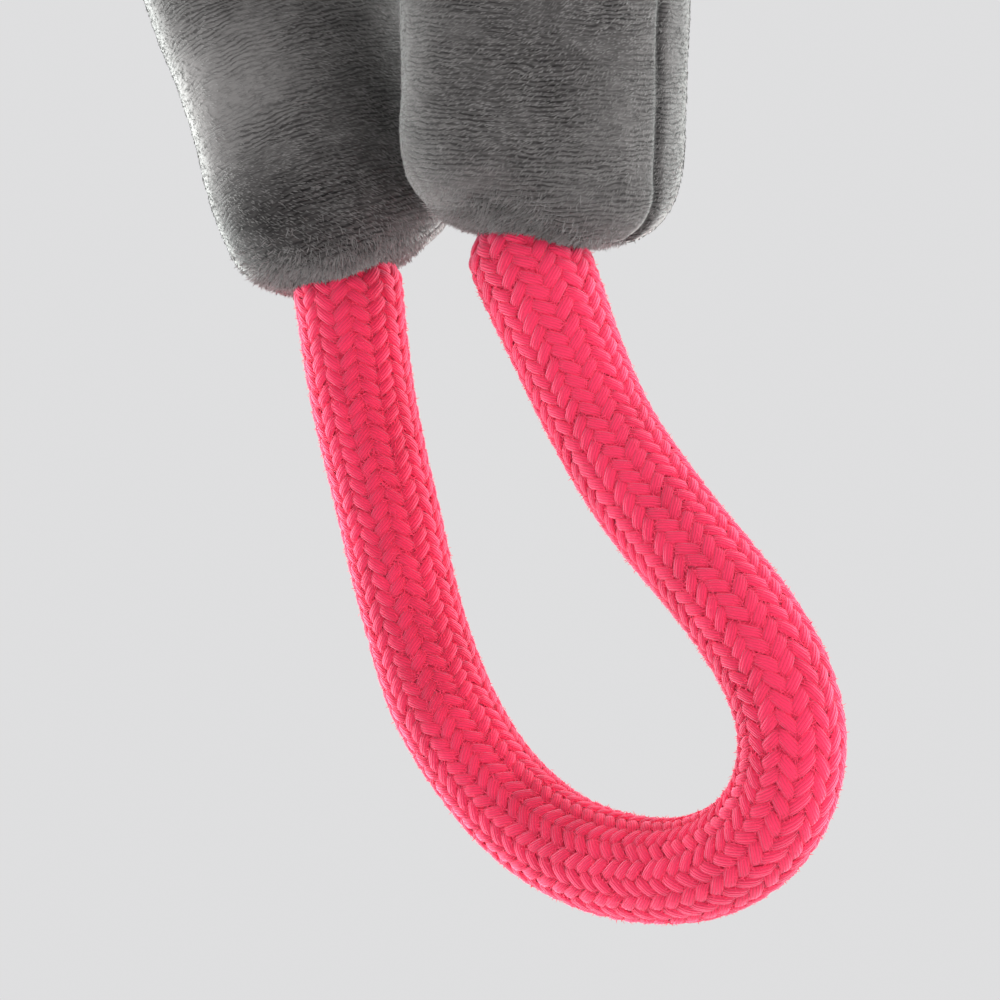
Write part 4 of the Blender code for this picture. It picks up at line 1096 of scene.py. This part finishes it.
# A blank label of white satin ribbon, folded double, is caught in the seam of the seat between the legs.
LABEL_WIDTH = 0.013
LABEL_LENGTH = 0.016
LABEL_INTO_SEAM = 0.003
LABEL_END_SHARE = 0.985
RIBBON_THICKNESS = 0.00025
LABEL_GAP = 0.0003
LABEL_SWAY = 0.0016
FOLD_SHARE = 0.06
FOLD_ROUNDNESS = 0.4
SATIN_WHITE = (0.83, 0.83, 0.81)


def ribbon_finish(name, colour):
    """White satin ribbon, woven from fine threads that run along it."""
    ribbon = Finish(name, {"Roughness": 0.38, "Sheen Weight": 0.2})
    weave = ribbon.add("TexWave", {"Vector": ribbon.add("TexCoord", {}, "Object"), "Scale": 900},
                       bands_direction="X")
    share = ribbon.mixed(0.25, (ribbon.noise(160, 3), 0.6))
    return ribbon.wear(ribbon.ramp(share, (0, shaded(colour, 0.8)), (1, colour)), weave, 0.25, 0.00005)


bm, _ = flat_grid(14, 64)
seat = TORSO_TOP - TORSO_LENGTH
for vertex in bm.verts:
    across, along = vertex.co.x, vertex.co.y
    layer, down = math.copysign(1, along), 1 - abs(along)
    if abs(along) <= FOLD_SHARE:
        in_fold = along / FOLD_SHARE
        layer = math.sin(in_fold * math.pi / 2)
        down = 1 - FOLD_SHARE + FOLD_SHARE * math.sqrt(1 - in_fold ** 2) * FOLD_ROUNDNESS
    z = seat + LABEL_INTO_SEAM - (LABEL_LENGTH + LABEL_INTO_SEAM) * min(down, LABEL_END_SHARE)
    y = layer * LABEL_GAP + LABEL_SWAY * down ** 2 * math.sin(2.2 * down + 0.8 * across)
    vertex.co = (across * LABEL_WIDTH / 2, y, z)
bmesh.ops.recalc_face_normals(bm, faces=bm.faces)
label_piece = in_scene("care_ribbon", mesh_of("care_ribbon", bm), ribbon_finish("white_satin", SATIN_WHITE))
thicken = label_piece.modifiers.new("thickness", "SOLIDIFY")
thicken.thickness = RIBBON_THICKNESS
thicken.offset = 0
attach(label_piece, "torso")
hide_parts("care_label")


# The filling is loose white polyester fibre, pushed into each cover before its last seam is closed. Each
# bag of it is the part's own core, softened and made tufty.
FILLING_VOXEL = 0.0022
FILLING_TUFT = 0.0007
STUFFED = {"head_stuffing": "head", "muzzle_stuffing": "head", "torso_stuffing": "torso",
           "left_arm_stuffing": "left_arm", "right_arm_stuffing": "right_arm",
           "left_leg_stuffing": "left_leg", "right_leg_stuffing": "right_leg"}


def filling_finish(name):
    """Matted white fibre, darker in its soft hollows as painted shade."""
    filling = Finish(name, {"Roughness": 0.95, "Sheen Weight": 0.5})
    tuft = filling.noise(260, 5, roughness=0.7, distortion=1.2)
    # Painted shade: the fibre is darker where its bump is low.
    colours = filling.ramp(tuft, (0.3, (0.58, 0.58, 0.56)), (0.7, (0.86, 0.86, 0.85)))
    return filling.wear(colours, tuft, 0.8, 0.0008)


white_fibre = filling_finish("white_fibre")
for seed, (node, body) in enumerate(STUFFED.items()):
    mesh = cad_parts[node].data.copy()
    bm = bmesh.new()
    bm.from_mesh(mesh)
    bmesh.ops.remove_doubles(bm, verts=bm.verts, dist=0.00001)
    bmesh.ops.recalc_face_normals(bm, faces=bm.faces)
    bm.to_mesh(mesh)
    bm.free()
    core = bpy.data.objects.new(node.replace("stuffing", "filling"), mesh)
    bpy.context.scene.collection.objects.link(core)
    remesh = core.modifiers.new("tufts", "REMESH")
    remesh.mode = "VOXEL"
    remesh.voxel_size = FILLING_VOXEL
    bpy.context.view_layer.update()
    deps = bpy.context.evaluated_depsgraph_get()
    soft = bpy.data.meshes.new_from_object(core.evaluated_get(deps))
    core.modifiers.clear()
    core.data = soft
    bpy.data.meshes.remove(mesh)
    places = vertex_values(soft.vertices, "co", 3)
    outward = vertex_values(soft.vertex_normals, "vector", 3)
    tufts = cell_noise(places, 0.006, 1, seed) + cell_noise(places, 0.003, 1, seed + 50) - 1
    places += outward * (tufts * FILLING_TUFT - FILLING_TUFT)[:, None]
    label = body.split("_")[0]
    if body.endswith("leg"):
        places = hang_leg(places, label, *leg_line(SIDES[label])[:2])
    elif body.endswith("arm"):
        places = sewn_in(places, *arm_line(SIDES[label])[:2], SIDES[label])
    set_places(soft, places)
    soft.update()
    soft.shade_smooth()
    soft.materials.clear()
    soft.materials.append(white_fibre)
    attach(core, body)
    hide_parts(node)


# The squeaker is moulded from thin milky plastic: a housing with a pressed-in reed, and a folded bellows
# with a cap. These pieces keep the part's own shapes.
MILKY_WHITE = (0.78, 0.78, 0.75)


def moulded_finish(name, colour):
    """Thin soft plastic, milky, with faint flow marks."""
    plastic = Finish(name, {"Roughness": 0.35, "Subsurface Weight": 0.2, "Subsurface Scale": 0.002})
    flow = plastic.noise(120, 3, distortion=0.8)
    return plastic.wear(plastic.ramp(flow, (0, shaded(colour, 0.86)), (1, colour)), flow, 0.1, 0.0002)


milky_plastic = moulded_finish("milky_plastic", MILKY_WHITE)
for node in ("squeaker_housing", "squeaker_reed", "squeaker_bellows", "squeaker_cap"):
    cad_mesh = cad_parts[node].data
    cad_mesh.materials.clear()
    cad_mesh.materials.append(milky_plastic)


# A plain pale studio: an even light all round, large soft lamps beside and before the toy, and a floor well
# below it. Each lamp is placed by how far it stands to the right, behind and above, with its side and power.
FLOOR_Z = -0.80
FLOOR_RADIUS = 1.6
PALE = (0.735, 0.735, 0.742)
AIM = Vector((0, 0, -0.33))
LAMPS = [("left_lamp", -0.95, 0.95, 0.15, 1.2, 62.0), ("right_lamp", 1.10, 0.70, 0.10, 1.2, 32.0),
         ("front_lamp", 0.80, -1.00, 0.55, 0.9, 8.5)]

world = bpy.data.worlds.new("studio")
world.use_nodes = True
world.node_tree.nodes["Background"].inputs["Color"].default_value = (*PALE, 1)
bpy.context.scene.world = world
bpy.context.scene.view_settings.view_transform = "Standard"
for name, sideways, behind, above, side, power in LAMPS:
    light = bpy.data.lights.new(name, "AREA")
    light.energy = power
    light.size = side
    lamp = bpy.data.objects.new(name, light)
    place = AIM + level * sideways + forward * behind + upright * above
    to_aim = (AIM - place).to_track_quat("-Z", "Y")
    lamp.matrix_world = Matrix.Translation(place) @ to_aim.to_matrix().to_4x4()
    bpy.context.scene.collection.objects.link(lamp)

bm = bmesh.new()
bmesh.ops.create_circle(bm, cap_ends=True, segments=96, radius=FLOOR_RADIUS)
bmesh.ops.translate(bm, verts=bm.verts, vec=(0, 0, FLOOR_Z))
pale_floor = Finish("pale_floor", {"Roughness": 0.8, "Base Color": (*PALE, 1)}).material
floor = in_scene("floor", mesh_of("floor", bm), pale_floor)
